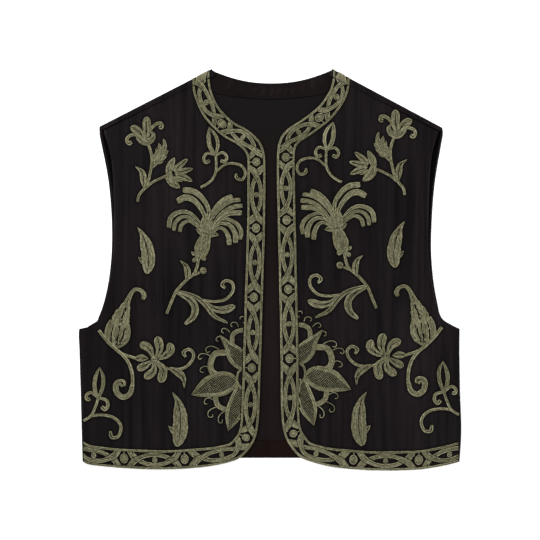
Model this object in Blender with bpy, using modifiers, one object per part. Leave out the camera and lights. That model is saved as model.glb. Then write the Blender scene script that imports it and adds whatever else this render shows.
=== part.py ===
"""Embroidered open-front vest, laid flat on its back.

Row frame: X across the vest, Y up the body towards the neck, Z up off the surface that it lies on.
The origin is under the middle of the vest, on that surface. "right" and "left" are the wearer's.
Tables are in millimetres, and every mesh is scaled to metres when it is made.
"""

import bisect
import math
from collections import namedtuple

import bmesh
import bpy
from mathutils import Vector
from mathutils.geometry import delaunay_2d_cdt

MM = 0.001

# Cloth layers
SHELL = 1.0  # back cloth wall
LINING = 1.0
FACING = 1.2
FRONT = 1.5  # front cloth with its facing, one wall
GAP = 0.3  # between pieces that touch
INSIDE = SHELL + GAP  # underside of what lies inside the back
FRONT_TOP = 4.6  # height of the front's outer face at its edges
SEAM_LOW = 2.55  # where the back's rolled side edge ends
SEAM_HIGH = SEAM_LOW + GAP  # where the front's rolled side edge ends
ROLL = 3.2  # how far in from the side seam the cloth starts to roll
SHOULDER_TOP = 5.4  # outer face of the folded shoulder
FOLD = SHOULDER_TOP / 2  # radius of the shoulder fold
SEAM_AT_NECK = 8.0  # shoulder seam, forward of the fold line
SEAM_AT_TIP = 5.5

# Outline
NECK_RIGHT = (-78.8, 260.3)  # where the folded shoulder meets the neck
NECK_LEFT = (83.6, 260.4)
TIP_RIGHT = (-219.5, 187.2)  # where it meets the armhole
TIP_LEFT = (222.0, 186.4)
NECK_LOW = 242.5  # middle of the back neck
NECK_MIDDLE_X = 2.0
NECK_POWER = 2.2
BACK_HEM = -244.0
NECK_FACING_DEPTH = 21.0
HEM_FACING_DEPTH = 23.0
FACING_SEAM = 0.8  # between the neck facing and the lining
LINING_INSET = 6.5

Side = namedtuple("Side", "y right left inset_right inset_left")
# Side seam and armhole from the hem up. right and left are the back's x; inset is how far inside it the front's edge lies.
SIDES = (
    Side(-249, -243.0, 246.4, 0, 0),
    Side(-208, -244.5, 248.2, 0, 0),
    Side(-156, -245.8, 246.6, 0, 0),
    Side(-104, -247.4, 245.8, 0, 0),
    Side(-79, -248.2, 245.8, 0, 0),
    Side(-75, -243.0, 241.5, 0, 0),
    Side(-71, -228.5, 230.0, 0, 0),
    Side(-62, -223.0, 222.8, 0.6, 0.8),
    Side(-42, -215.8, 217.3, 1.2, 1.6),
    Side(-12, -209.4, 212.2, 2.0, 2.8),
    Side(25, -205.8, 209.4, 3.0, 3.8),
    Side(65, -205.8, 210.3, 3.8, 4.8),
    Side(103, -208.5, 213.0, 5.6, 6.6),
    Side(130, -212.4, 216.6, 8.2, 8.8),
    Side(155, -217.4, 221.0, 9.6, 9.8),
    Side(176, -221.6, 224.6, 7.2, 7.4),
)

Edge = namedtuple("Edge", "y right left")
# Front and neck edges from the shoulder seam down to the rounded corner.
EDGES = (
    Edge(253, -77.4, 82.2),
    Edge(233, -74.8, 75.0),
    Edge(214, -67.6, 61.0),
    Edge(201, -57.5, 46.5),
    Edge(191, -46.0, 32.6),
    Edge(184, -33.0, 22.5),
    Edge(175, -21.0, 14.8),
    Edge(164, -11.8, 10.6),
    Edge(148, -6.6, 9.0),
    Edge(117, -6.0, 9.0),
    Edge(52, -6.6, 10.3),
    Edge(-24, -9.0, 12.0),
    Edge(-107, -11.4, 13.6),
    Edge(-169, -13.4, 14.2),
    Edge(-197, -14.8, 15.4),
    Edge(-216, -18.2, 19.4),
    Edge(-231, -26.2, 28.0),
)

Hem = namedtuple("Hem", "x right left")
# Hem of the fronts, from the rounded corner out to the side seam. x is the distance from the middle.
HEMS = (
    Hem(39, -243.8, -241.6),
    Hem(55, -250.0, -248.4),
    Hem(80, -255.0, -255.6),
    Hem(117, -258.3, -259.4),
    Hem(155, -258.8, -260.4),
    Hem(195, -256.8, -259.0),
    Hem(225, -253.4, -254.4),
)

Swell = namedtuple("Swell", "x y across along height")
# Soft swells of the fronts, at a distance x from the middle.
SWELLS = (
    Swell(150, -150, 70, 75, 1.7),
    Swell(125, 20, 60, 90, 1.5),
    Swell(150, 120, 55, 60, 1.2),
    Swell(205, -110, 45, 40, 0.9),
)
FOLD_WAVE = 84.0  # spacing of the fronts' broad vertical folds
FOLD_HEIGHT = 0.3

# Embroidered border: a band with windows in it, d measured from its middle, inward
BORDER_HALF = 11.6
BORDER_HALF_AT_HEM = 12.6
ROUNDEL = 6.1
BAR = 0.9  # half width of the bar that holds a roundel
HEXAGON = ((-10.8, 0), (-5.2, -9.0), (5.2, -9.0), (10.8, 0), (5.2, 9.0), (-5.2, 9.0))
DOT = 1.7  # half length of the bridge between the two halves of a vesica
VESICA = ((0.31, 0), (0.37, 2.3), (0.44, 3.4), (0.48, 3.4))  # shares of a repeat, and half widths
SPANDREL = ((0.17, 8.2), (0.27, 3.3), (0.35, 8.2))  # gap between a rail and the crossing strands
# Roundels along the edge, from the shoulder seam; the first and last lie past the ends.
ROUNDELS = {
    "right": (-2, 62, 140, 226, 316, 408, 504, 605, 684, 763),
    "left": (-10, 54, 135, 217, 307, 397, 499, 602, 688, 769),
}

# Stitching height, at the rim and on the ridge
RIM = 0.7
RIDGE = 1.1
LIFT = 0.35  # of the stitching's underside over the cloth
THINNING = 0.4  # how far a thinned outline may lie from the full one
SMALLEST_HOLE = 4.0  # square millimetres, and the smallest piece of an outline
CLEAR = 0.8  # between the half flower and the border

Blade = namedtuple("Blade", "profile width spine")

UPPER_SPRIG = (
    Blade("stem", 3.4, ((-1, 0), (0, 5), (7, 18), (13, 30), (16, 41), (17, 54), (15, 64), (11, 77))),
    Blade("stem", 3.4, ((6, 17), (14, 25), (24, 31), (38, 35))),
    Blade("leaf", 10, ((9, 19), (8, 33), (4, 41), (-3, 47))),
    Blade("leaf", 14, ((17, 46), (24, 59), (30, 70), (35, 83))),
    Blade("leaf", 7, ((20, 51), (29, 58), (36, 65))),
    Blade("leaf", 7, ((24, 59), (32, 68), (38, 76))),
    Blade("leaf", 6, ((19, 52), (21, 62), (23, 69))),
    Blade("leaf", 6, ((24, 62), (26, 70), (28, 77))),
    Blade("arc", 9.5, ((50, 18), (40, 29), (39, 41), (47, 57))),
    Blade("leaf", 9.5, ((41, 32), (52, 46), (64, 57))),
    Blade("leaf", 9.5, ((41, 36), (56, 42), (71, 44))),
    Blade("leaf", 9.5, ((41, 36), (56, 30), (70, 26))),
    Blade("leaf", 7, ((41, 36), (50, 31), (60, 19))),
    Blade("petal", 12, ((10, 77), (11, 94), (12, 112))),
    Blade("petal", 10, ((9, 80), (0, 91), (-11, 98))),
    Blade("arc", 9.5, ((22, 91), (19, 80), (10, 75), (3, 79), (-1, 88))),
    Blade("hook", 4.4, ((14, 89), (21, 101), (28, 105), (32, 100), (27, 97))),
    Blade("hook", 4.6, ((2, 84), (-9, 86), (-15, 81), (-13, 75), (-8, 78))),
)

TREFOIL = (
    Blade("stem", 3.4, ((2, 2.5), (10, 7), (17, 13), (22, 25), (22, 47))),
    Blade("hook", 3.6, ((21, 22), (33, 32), (45, 34), (56, 30), (60, 21), (56, 13), (49, 15), (48, 21))),
    Blade("arc", 6.0, ((21, 44), (14, 54), (11, 66), (12, 80))),
    Blade("arc", 6.0, ((21, 44), (24, 57), (22, 67), (11, 80))),
    Blade("hook", 4.0, ((21, 45), (11, 47), (6, 41), (9, 35), (14, 38))),
    Blade("hook", 4.0, ((22, 45), (31, 48), (36, 42), (33, 36), (28, 38))),
)

SIDE_TREFOIL = (
    Blade("stem", 3.6, ((2, 0), (12, 7), (18, 19), (22, 31))),
    Blade("hook", 4.2, ((11, 6), (23, 8), (38, 6), (48, -1), (51, -10), (47, -20), (39, -21), (37, -13))),
    Blade("arc", 6.4, ((21, 28), (16, 42), (17, 55), (23, 69))),
    Blade("arc", 6.4, ((21, 28), (28, 43), (29, 57), (23, 69))),
    Blade("hook", 4.2, ((20, 31), (12, 37), (6, 33), (7, 28), (11, 29))),
    Blade("hook", 4.6, ((22, 30), (32, 27), (34, 20), (30, 15), (26, 19))),
)

CARNATION = (
    Blade("ray", 8.2, ((2, 6), (-1, 27), (-12, 42), (-32, 47))),
    Blade("ray", 8.6, ((-2, 3), (-12, 25), (-23, 36), (-39, 33))),
    Blade("ray", 7.0, ((-4, 0), (-21, 16), (-36, 20), (-48, 12), (-50, -2))),
    Blade("ray", 5.6, ((-4, -2), (-21, 10), (-34, 12), (-42, 4), (-43, -7))),
    Blade("ray", 5.4, ((-4, -4), (-19, 5), (-30, 6), (-35, 0), (-36, -9))),
    Blade("ray", 8.0, ((3, 7), (11, 27), (20, 36), (31, 39))),
    Blade("ray", 6.2, ((4, 5), (20, 25), (31, 31), (43, 34))),
    Blade("ray", 6.0, ((4, 3), (24, 19), (33, 24), (45, 27))),
    Blade("ray", 6.4, ((5, 1), (24, 13), (34, 16), (44, 17))),
    Blade("ray", 8.4, ((5, 0), (28, 7), (40, 1), (43, -12), (40, -20))),
    Blade("ray", 6.2, ((5, -2), (26, 1), (34, -9), (35, -23))),
    Blade("ray", 6.0, ((4, -4), (21, -4), (27, -12), (28, -25))),
    Blade("leaf", 20, ((2, 18), (0, -2), (-3, -22))),
    Blade("leaf", 7, ((0, -6), (-8, -4), (-16, -8))),
    Blade("leaf", 7, ((0, -6), (9, -8), (17, -13))),
    Blade("leaf", 18, ((-1, -9), (-7, -26), (-14, -45))),
    Blade("petal", 6, ((-11, -41), (-15, -42), (-20, -43))),
    Blade("petal", 6, ((-11, -41), (-8, -42), (-3, -43))),
    Blade("stem", 4.2, ((-11, -42), (-16, -60), (-27, -70), (-40, -84), (-46, -97), (-53, -114))),
    Blade("leaf", 10, ((-27, -71), (-28, -58), (-33, -45))),
    Blade("stem", 3.4, ((-20, -64), (-13, -62), (-7, -58))),
    Blade("dot", 9, ((-10, -58), (-1, -58))),
    Blade("arc", 6.8, ((-41, -84), (-25, -88), (-10, -92), (3, -105), (13, -120), (28, -125))),
    Blade("hook", 4.0, ((-6, -96), (9, -98), (24, -95), (33, -84), (32, -74), (24, -71), (19, -76), (23, -81))),
    Blade("petal", 10.5, ((1, -101), (19, -109), (35, -104))),
    Blade("leaf", 11, ((-41, -85), (-19, -93), (-14, -107), (-19, -120), (-29, -128))),
)

LEAF_SPRAY = (
    Blade("stem", 4.6, ((-24, 24), (-14, 14), (0, 1), (14, -14), (21, -30), (22, -48))),
    Blade("hook", 7.2, ((22, -44), (17, -60), (6, -63), (-2, -57), (-3, -48), (4, -43), (9, -48))),
    Blade("stem", 3.8, ((2, -1), (14, -7), (26, -11))),
    Blade("petal", 10, ((23, -11), (34, -11), (46, -12))),
    Blade("petal", 13, ((51, -12), (43, -1), (32, 8))),
    Blade("petal", 14, ((51, -12), (52, 2), (54, 16))),
    Blade("petal", 14, ((51, -12), (64, -5), (71, 7))),
    Blade("petal", 13, ((51, -12), (39, -18), (27, -27))),
    Blade("petal", 12.5, ((51, -12), (45, -27), (37, -39))),
    Blade("petal", 13, ((51, -12), (55, -27), (57, -43))),
    Blade("hook", 4.0, ((53, -16), (64, -24), (85, -25), (97, -16), (100, -6), (94, 0), (87, -4), (90, -10))),
    Blade("leaf", 9.5, ((69, -24), (82, -34), (89, -48))),
    Blade("broad", 30, ((-3, 0), (2, 26), (10, 50), (17, 68))),
    Blade("horn", 10, ((9, 52), (15, 66), (24, 75), (32, 74), (36, 66))),
)

UPPER_PAISLEY = (
    Blade("drop", 18, ((-12, 30), (-6, 19), (0, 4), (1, -12), (-1, -29))),
    Blade("leaf", 6, ((-2, -18), (-8, -11), (-13, -8))),
)

LOWER_PAISLEY = (
    Blade("drop", 21, ((-6, 38), (-2, 26), (1, 10), (0, -7), (-4, -30))),
    Blade("leaf", 7, ((-3, -16), (-9, -9), (-15, -4))),
)

HALF_FLOWER = (
    Blade("arc", 6.4, ((-3, 10), (-17, 18), (-23, 35), (-32, 57))),
    Blade("arc", 5.4, ((2, 28), (-5, 36), (-17, 46), (-32, 57))),
    Blade("arc", 7.2, ((-7, -2), (-17, 4), (-33, 5), (-50, -3), (-68, -22))),
    Blade("arc", 6.6, ((-6, -3), (-15, -11), (-28, -20), (-47, -21), (-68, -22))),
    Blade("arc", 6.0, ((-6, -6), (-15, -24), (-22, -46), (-21, -68))),
    Blade("arc", 6.0, ((-3, -8), (-2, -32), (-7, -50), (-21, -68))),
    Blade("stem", 7.4, ((2, 63), (-12, 61), (-18, 52), (-16, 41))),
    Blade("stem", 8.4, ((-21, 33), (-38, 31), (-44, 18), (-42, 8), (-34, 3))),
    Blade("stem", 7.0, ((-38, -19), (-35, -35), (-21, -43))),
    Blade("stem", 5.0, ((0, 16), (-7, 8), (-7, -4), (-1, -14))),
)

Motif = namedtuple("Motif", "name blades right left")
# Each motif with its place on the right front and, mirrored, on the left front.
MOTIFS = (
    Motif("upper_sprig", UPPER_SPRIG, (-171, 88), (174, 97)),
    Motif("trefoil", TREFOIL, (-92, 104), (95, 111)),
    Motif("carnation", CARNATION, (-81, 57), (85, 64)),
    Motif("upper_paisley", UPPER_PAISLEY, (-158, 24), (161, 32)),
    Motif("leaf_spray", LEAF_SPRAY, (-199, -103), (200, -99)),
    Motif("side_trefoil", SIDE_TREFOIL, (-244, -196), (247, -188)),
    Motif("lower_paisley", LOWER_PAISLEY, (-117, -199), (116, -198)),
    Motif("half_flower", HALF_FLOWER, (-33, -140), (36, -133)),
)

COLOURS = {
    "cloth": (0.012, 0.012, 0.014, 0.95),
    "lining": (0.016, 0.012, 0.012, 0.8),
    "stitching": (0.165, 0.165, 0.085, 0.9),
}


def smooth_through(points, steps):
    """Points on a smooth curve through the given ones, with this many steps between neighbours."""
    line = [Vector(p) for p in points]
    line = [2 * line[0] - line[1], *line, 2 * line[-1] - line[-2]]
    made = []
    for a, b, c, d in zip(line, line[1:], line[2:], line[3:]):
        for k in range(steps):
            t = k / steps
            made.append(
                0.5 * (2 * b + (c - a) * t + (2 * a - 5 * b + 4 * c - d) * t * t
                       + (3 * b - 3 * c + d - a) * t**3)
            )
    made.append(line[-2])
    return made


class Path:
    """A smooth line that is read by the distance along it."""

    def __init__(self, points, steps=12):
        self.points = smooth_through(points, steps)
        self.at = [0.0]
        for a, b in zip(self.points, self.points[1:]):
            self.at.append(self.at[-1] + (b - a).length)
        self.length = self.at[-1]

    def point(self, s):
        """The point at distance s; past either end the line runs straight on."""
        k = min(max(bisect.bisect_right(self.at, s) - 1, 0), len(self.at) - 2)
        a, b = self.points[k], self.points[k + 1]
        return a.lerp(b, (s - self.at[k]) / (self.at[k + 1] - self.at[k]))

    def share(self, t):
        return self.point(t * self.length)

    def normal(self, s, reach):
        """Left-hand normal at s, evened out over a length on either side."""
        run = (self.point(s + reach) - self.point(s - reach)).normalized()
        return Vector((-run.y, run.x))


def sign_of(side):
    return -1 if side == "right" else 1


def side_line(y, side):
    """x of the side seam, run on straight above the underarm."""
    rows = SIDES[:5]
    for low, high in zip(rows, rows[1:]):
        if y <= high.y or high is rows[-1]:
            t = (y - low.y) / (high.y - low.y)
            a, b = getattr(low, side), getattr(high, side)
            return a + (b - a) * min(t, 1.0)


def shoulder_line(side):
    """Neck end, armhole end and outward direction of the folded shoulder."""
    neck, tip = (NECK_RIGHT, TIP_RIGHT) if side == "right" else (NECK_LEFT, TIP_LEFT)
    neck, tip = Vector(neck), Vector(tip)
    along = (tip - neck).normalized()
    out = Vector((-along.y, along.x))
    if out.y < 0:
        out.negate()
    return neck, tip, out


def shoulder_seam(side):
    neck, tip, out = shoulder_line(side)
    return neck - out * SEAM_AT_NECK, tip - out * SEAM_AT_TIP


def front_height(x, y):
    """Height of a front's outer face over the surface that the vest lies on."""
    side = "right" if x < 0 else "left"
    from_middle = abs(x)
    height = FRONT_TOP
    for swell in SWELLS:
        across = (from_middle - swell.x) / swell.across
        along = (y - swell.y) / swell.along
        height += swell.height * math.exp(-across * across - along * along)
    height += FOLD_HEIGHT * math.sin(2 * math.pi * from_middle / FOLD_WAVE + y / 140)
    neck, tip, out = shoulder_line(side)
    from_fold = -(Vector((x, y)) - neck).dot(out)
    near = math.exp(-max(0.0, from_fold - SEAM_AT_TIP) / 22)
    height += (SHOULDER_TOP - height) * near
    return SEAM_HIGH + (height - SEAM_HIGH) * roll_turn(x, y, side)[1]


def side_points(side, of_front):
    """The side seam and armhole, hem to shoulder, of the back or, a little inside it, of the front."""
    sign = sign_of(side)
    points = []
    for row in SIDES:
        inset = getattr(row, "inset_" + side) if of_front else 0
        points.append((getattr(row, side) - sign * inset, row.y))
    end = shoulder_seam(side)[1] if of_front else shoulder_line(side)[1] - shoulder_line(side)[2] * FOLD
    points.append((end.x - sign * 4 if of_front else end.x, end.y))
    return points


def edge_points(side):
    seam = shoulder_seam(side)[0]
    return [(seam.x, seam.y)] + [(getattr(row, side), row.y) for row in EDGES[1:]]


def hem_points(side):
    sign = sign_of(side)
    low = SIDES[0]
    return [(sign * row.x, getattr(row, side)) for row in HEMS] + [(getattr(low, side), low.y)]


def whole_edge(side):
    """From the shoulder seam down the neck and front edges, round the corner and out along the hem."""
    return Path(edge_points(side) + hem_points(side))


def spread(count, ends=()):
    """Shares from 0 to 1, evenly spaced between closer ones given for the two ends."""
    head = list(ends)
    tail = [1 - t for t in reversed(ends)]
    start, stop = (head[-1], tail[0]) if head else (0.0, 1.0)
    return head + [start + (stop - start) * k / count for k in range(0 if not head else 1, count)] + (tail or [1.0])


def patch(bottom, top, left, right, across, along):
    """A grid of points between four boundary lines, each a function of a share from 0 to 1."""
    low_left, low_right = bottom(0), bottom(1)
    high_left, high_right = top(0), top(1)
    rows = []
    for v in along:
        row = []
        for u in across:
            sides = left(v) * (1 - u) + right(v) * u
            ends = bottom(u) * (1 - v) + top(u) * v
            corners = (low_left * (1 - u) + low_right * u) * (1 - v) + (high_left * (1 - u) + high_right * u) * v
            row.append(sides + ends - corners)
        rows.append(row)
    return rows


def material(kind):
    found = bpy.data.materials.get(kind)
    if found:
        return found
    red, green, blue, roughness = COLOURS[kind]
    made = bpy.data.materials.new(kind)
    made.use_nodes = True
    shader = made.node_tree.nodes["Principled BSDF"]
    shader.inputs["Base Color"].default_value = (red, green, blue, 1)
    shader.inputs["Roughness"].default_value = roughness
    shader.inputs["Metallic"].default_value = 0.0
    return made


def new_object(name, mesh_data, kind, collection):
    mesh_data.materials.append(material(kind))
    made = bpy.data.objects.new(name, mesh_data)
    collection.objects.link(made)
    return made


def flat_cloth(name, rows, thickness, collection):
    """A level sheet through rows of points, given its thickness upwards by Solidify."""
    sheet = bmesh.new()
    grid = [[sheet.verts.new(p * MM) for p in row] for row in rows]
    for low, high in zip(grid, grid[1:]):
        for a, b, c, d in zip(low, low[1:], high[1:], high):
            sheet.faces.new((d, c, b, a))
    mesh_data = bpy.data.meshes.new(name)
    sheet.to_mesh(mesh_data)
    sheet.free()
    made = new_object(name, mesh_data, "lining", collection)
    wall = made.modifiers.new("wall", "SOLIDIFY")
    wall.thickness = thickness * MM
    wall.offset = -1.0
    wall.use_even_offset = True
    return made


def walled(name, grids, collection):
    """A closed wall of cloth from grids of (outer, inner) pairs of points; grids join where they share points."""
    body = bmesh.new()
    pairs = {}

    def corner(pair):
        key = tuple(round(c, 3) for c in pair[0])
        if key not in pairs:
            pairs[key] = body.verts.new(pair[0] * MM), body.verts.new(pair[1] * MM)
        return key

    sides = {}
    for rows in grids:
        keys = [[corner(pair) for pair in row] for row in rows]
        for low, high in zip(keys, keys[1:]):
            for loop in zip(low, low[1:], high[1:], high):
                body.faces.new([pairs[key][0] for key in loop])
                body.faces.new([pairs[key][1] for key in reversed(loop)])
                for a, b in zip(loop, (*loop[1:], loop[0])):
                    sides[(a, b)] = True
    for a, b in sides:
        if (b, a) not in sides:
            body.faces.new((pairs[b][0], pairs[a][0], pairs[a][1], pairs[b][1]))
    bmesh.ops.recalc_face_normals(body, faces=body.faces)
    mesh_data = bpy.data.meshes.new(name)
    body.to_mesh(mesh_data)
    body.free()
    return new_object(name, mesh_data, "cloth", collection)


def roll_turn(x, y, side):
    """Cosine and sine of the roll at the side seam: 1, 0 on the seam, and 0, 1 where the cloth lies flat."""
    from_seam = abs(side_line(y, side) - x)
    if from_seam >= ROLL:
        return 0.0, 1.0
    cosine = 1 - from_seam / ROLL
    return cosine, math.sqrt(1 - cosine * cosine)


def rows_up_side(outer, below, above):
    """Shares of the side and armhole for the rows of a grid, with one at each point of the underarm corner."""
    corners = [outer.at[12 * k] / outer.length for k in (4, 5, 6)]
    low = [corners[0] * k / below for k in range(below)]
    high = [corners[-1] + (1 - corners[-1]) * k / above for k in range(1, above + 1)]
    return low + corners + high


def front_panel(side, collection):
    """One front: side seam and armhole on its outer edge, front and neck edge on its inner edge."""
    outer = Path(side_points(side, of_front=True))
    edge = whole_edge(side)
    corner = Path(edge_points(side)).length
    seam_neck, seam_tip = Vector(edge_points(side)[0]), Vector(side_points(side, of_front=True)[-1])
    width = abs(outer.share(0).x)
    close = (0.0, 0.5 / width, 1.5 / width, ROLL / width)
    across = list(close) + [close[-1] + (1 - close[-1]) * k / 12 for k in range(1, 13)]
    along = rows_up_side(outer, 6, 10)
    grid = patch(
        bottom=lambda u: edge.point(edge.length + (corner - edge.length) * u),
        top=lambda u: seam_tip.lerp(seam_neck, u),
        left=outer.share,
        right=lambda v: edge.point(corner * (1 - v)),
        across=across,
        along=along,
    )

    def pair(p):
        cosine, sine = roll_turn(p.x, p.y, side)
        face = Vector((p.x, p.y, front_height(p.x, p.y)))
        return face, face - Vector((sign_of(side) * cosine, 0, sine)) * FRONT

    return walled("front_" + side, [[[pair(p) for p in row] for row in grid]], collection)


def back_neck(x):
    """y of the back neck edge."""
    half = NECK_LEFT[0] - NECK_MIDDLE_X
    return NECK_LOW + (NECK_LEFT[1] - NECK_LOW) * (abs(x - NECK_MIDDLE_X) / half) ** NECK_POWER


def shoulder_fold(base, out, forward):
    """Pairs of points from the flat back, round the shoulder fold and forward over the top to the seam."""
    centre = base.to_3d() + Vector((0, 0, FOLD))
    made = []
    for degrees in (-90, -45, 0, 45, 90):
        turn = math.radians(degrees)
        direction = (out * math.cos(turn)).to_3d() + Vector((0, 0, math.sin(turn)))
        made.append((centre + direction * FOLD, centre + direction * (FOLD - SHELL)))
    over = centre - (out * forward).to_3d()
    made.append((over + Vector((0, 0, FOLD)), over + Vector((0, 0, FOLD - SHELL))))
    return made


def back_panel(collection):
    """The back, flat on the surface, rolled up at the side seams and folded over at the shoulders."""
    right_side, left_side = Path(side_points("right", False)), Path(side_points("left", False))
    right_neck, right_tip, right_out = shoulder_line("right")
    left_neck, left_tip, left_out = shoulder_line("left")
    right_start, right_end = right_tip - right_out * FOLD, right_neck - right_out * FOLD
    left_start, left_end = left_neck - left_out * FOLD, left_tip - left_out * FOLD
    shoulder_share = 0.34

    def top(u):
        if u <= shoulder_share:
            return right_start.lerp(right_end, u / shoulder_share)
        if u >= 1 - shoulder_share:
            return left_end.lerp(left_start, (1 - u) / shoulder_share)
        x = right_end.x + (left_start.x - right_end.x) * (u - shoulder_share) / (1 - 2 * shoulder_share)
        lowered = FOLD * (abs(x - NECK_MIDDLE_X) / (NECK_LEFT[0] - NECK_MIDDLE_X)) ** 6
        return Vector((x, back_neck(x) - lowered))

    def hem(u):
        a, b = right_side.share(0), left_side.share(0)
        return Vector((a.x + (b.x - a.x) * u, a.y + (b.y - a.y) * u + (BACK_HEM - a.y) * (1 - (2 * u - 1) ** 4)))

    width = left_side.share(0).x - right_side.share(0).x
    close = (0.0, 0.5 / width, 1.5 / width, ROLL / width)
    shoulder_steps, neck_steps = 5, 8
    across = list(close) + [close[-1] + (shoulder_share - close[-1]) * k / shoulder_steps for k in range(1, shoulder_steps + 1)]
    across += [shoulder_share + (1 - 2 * shoulder_share) * k / neck_steps for k in range(1, neck_steps)]
    across += [1 - t for t in reversed(across[: len(close) + shoulder_steps])]
    grid = patch(hem, top, right_side.share, left_side.share, across, rows_up_side(right_side, 3, 8))

    def pair(p):
        side = "right" if p.x < 0 else "left"
        cosine, sine = roll_turn(p.x, p.y, side)
        face = Vector((p.x, p.y, SEAM_LOW * (1 - sine)))
        return face, face + Vector((-sign_of(side) * cosine, 0, sine)) * SHELL

    grids = [[[pair(p) for p in row] for row in grid]]
    shoulder_columns = len(close) + shoulder_steps
    for start, neck, tip, out in (
        (0, right_neck, right_tip, right_out),
        (len(across) - shoulder_columns, left_neck, left_tip, left_out),
    ):
        columns = []
        for p in grid[-1][start : start + shoulder_columns]:
            share = (p - (neck - out * FOLD)).length / (tip - neck).length
            forward = (SEAM_AT_NECK + (SEAM_AT_TIP - SEAM_AT_NECK) * share) - FOLD - GAP
            columns.append(shoulder_fold(p, out, forward))
        grids.append([list(row) for row in zip(*columns)])
    return walled("back", grids, collection)


def facing_line(x):
    """y of the seam between the neck facing and the lining."""
    return NECK_LOW - NECK_FACING_DEPTH + 12.0 * (abs(x - NECK_MIDDLE_X) / 90) ** 2


def inner_pieces(collection):
    """What shows of the inside: neck facing, lining and hem facing, side by side on the back."""
    facing_reach = 79.0
    facing_top = 1.0  # in from the neck edge
    steps = [k / 12 for k in range(13)]

    def flat(p):
        return p.to_3d() + Vector((0, 0, INSIDE))

    def across_at(curve, reach):
        return lambda u: Vector((NECK_MIDDLE_X + reach * (2 * u - 1), curve(NECK_MIDDLE_X + reach * (2 * u - 1))))

    top = across_at(lambda x: back_neck(x) - facing_top, facing_reach)
    bottom = across_at(facing_line, facing_reach + 14)
    grid = patch(
        bottom, top,
        lambda v: bottom(0).lerp(top(0), v),
        lambda v: bottom(1).lerp(top(1), v),
        steps, (0.0, 0.5, 1.0),
    )
    flat_cloth("neck_facing", [[flat(p) for p in row] for row in grid], FACING, collection)

    def lined(side):
        sign = sign_of(side)
        points = [(getattr(row, side) - sign * LINING_INSET, row.y) for row in SIDES[1:5]]
        points += [(getattr(row, side) - sign * 4.0, row.y) for row in SIDES[7:15]]
        points[0] = (points[0][0], BACK_HEM + HEM_FACING_DEPTH + GAP)
        return Path(points)

    right_line, left_line = lined("right"), lined("left")
    shoulder_reach = 84.0

    def lining_top(u):
        ends = right_line.share(1), left_line.share(1)
        x = ends[0].x + (ends[1].x - ends[0].x) * u
        off = abs(x - NECK_MIDDLE_X)
        y = facing_line(min(off, shoulder_reach) + NECK_MIDDLE_X) - FACING_SEAM
        if off > shoulder_reach:
            end = ends[0] if x < 0 else ends[1]
            span = abs(end.x - NECK_MIDDLE_X) - shoulder_reach
            y += (end.y - y) * (off - shoulder_reach) / span
        return Vector((x, y))

    grid = patch(
        lambda u: right_line.share(0).lerp(left_line.share(0), u),
        lining_top, right_line.share, left_line.share,
        [k / 14 for k in range(15)], [k / 6 for k in range(7)],
    )
    flat_cloth("lining", [[flat(p) for p in row] for row in grid], LINING, collection)

    low, high = BACK_HEM + 1.2, BACK_HEM + HEM_FACING_DEPTH
    reach_right, reach_left = SIDES[0].right + LINING_INSET, SIDES[0].left - LINING_INSET
    rows = []
    for y in (low, (low + high) / 2, high):
        rows.append([Vector((reach_right + (reach_left - reach_right) * u, y, INSIDE)) for u in steps])
    flat_cloth("hem_facing", rows, FACING, collection)


# Places along a blade, and its half width there as a share of the widest
PROFILES = {
    "stem": ((0, 1), (1, 1)),
    "arc": ((0, 0.5), (0.12, 0.8), (0.3, 1), (0.65, 1), (0.85, 0.66), (1, 0.1)),
    "ray": ((0, 0.45), (0.3, 0.7), (0.8, 1), (0.96, 1), (1, 0.7)),
    "hook": ((0, 0.8), (0.5, 1), (0.85, 1.05), (0.93, 1.3), (1, 0.8)),
    "horn": ((0, 1), (0.4, 0.62), (0.8, 0.5), (0.92, 0.65), (1, 0.4)),
    "leaf": ((0, 0), (0.1, 0.4), (0.25, 0.78), (0.45, 1), (0.62, 0.92), (0.8, 0.56), (1, 0)),
    "petal": ((0, 0.3), (0.3, 0.55), (0.55, 0.88), (0.75, 1), (0.88, 0.88), (0.96, 0.55), (1, 0.2)),
    "drop": ((0, 0), (0.1, 0.16), (0.22, 0.45), (0.38, 0.8), (0.55, 0.97), (0.7, 1), (0.85, 0.82), (0.95, 0.5), (1, 0.12)),
    "broad": ((0, 0.15), (0.12, 0.7), (0.28, 1), (0.4, 0.98), (0.43, 0.86), (0.58, 0.86), (0.61, 0.7), (0.76, 0.64),
              (0.79, 0.5), (1, 0.25)),
    "dot": ((0, 0.35), (0.15, 0.75), (0.5, 1), (0.85, 0.75), (1, 0.35)),
}
RIDGED = ("leaf", "petal", "drop", "broad", "dot")


def half_width(blade, t):
    """Half the width of a blade at a share t of its length."""
    shares = PROFILES[blade.profile]
    for (t_low, low), (t_high, high) in zip(shares, shares[1:]):
        if t <= t_high:
            return blade.width / 2 * (low + (high - low) * (t - t_low) / (t_high - t_low))
    return blade.width / 2 * shares[-1][1]


def blade_faces(blade, step):
    """A blade as quads side by side, and the points of the ridge of a wide one."""
    line = Path(blade.spine, steps=8)
    count = max(3, round(line.length / step))
    shares = sorted({k / count for k in range(count + 1)} | {t for t, _ in PROFILES[blade.profile]})
    rings, ridge = [], []
    for t in shares:
        s = t * line.length
        centre, half = line.point(s), half_width(blade, t)
        across = line.normal(s, 0.02 * line.length)
        rings.append([centre + across * half, centre - across * half] if half > 0.05 else [centre, centre])
    for t in (0.3, 0.55, 0.8):
        if blade.profile in RIDGED and half_width(blade, t) > 2.2:
            ridge.append(line.share(t))
    faces = []
    for low, high in zip(rings, rings[1:]):
        corners = [low[0], low[1], high[1], high[0]]
        faces.append([p for n, p in enumerate(corners) if (p - corners[n - 1]).length > 1e-6])
    return faces, ridge


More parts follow.
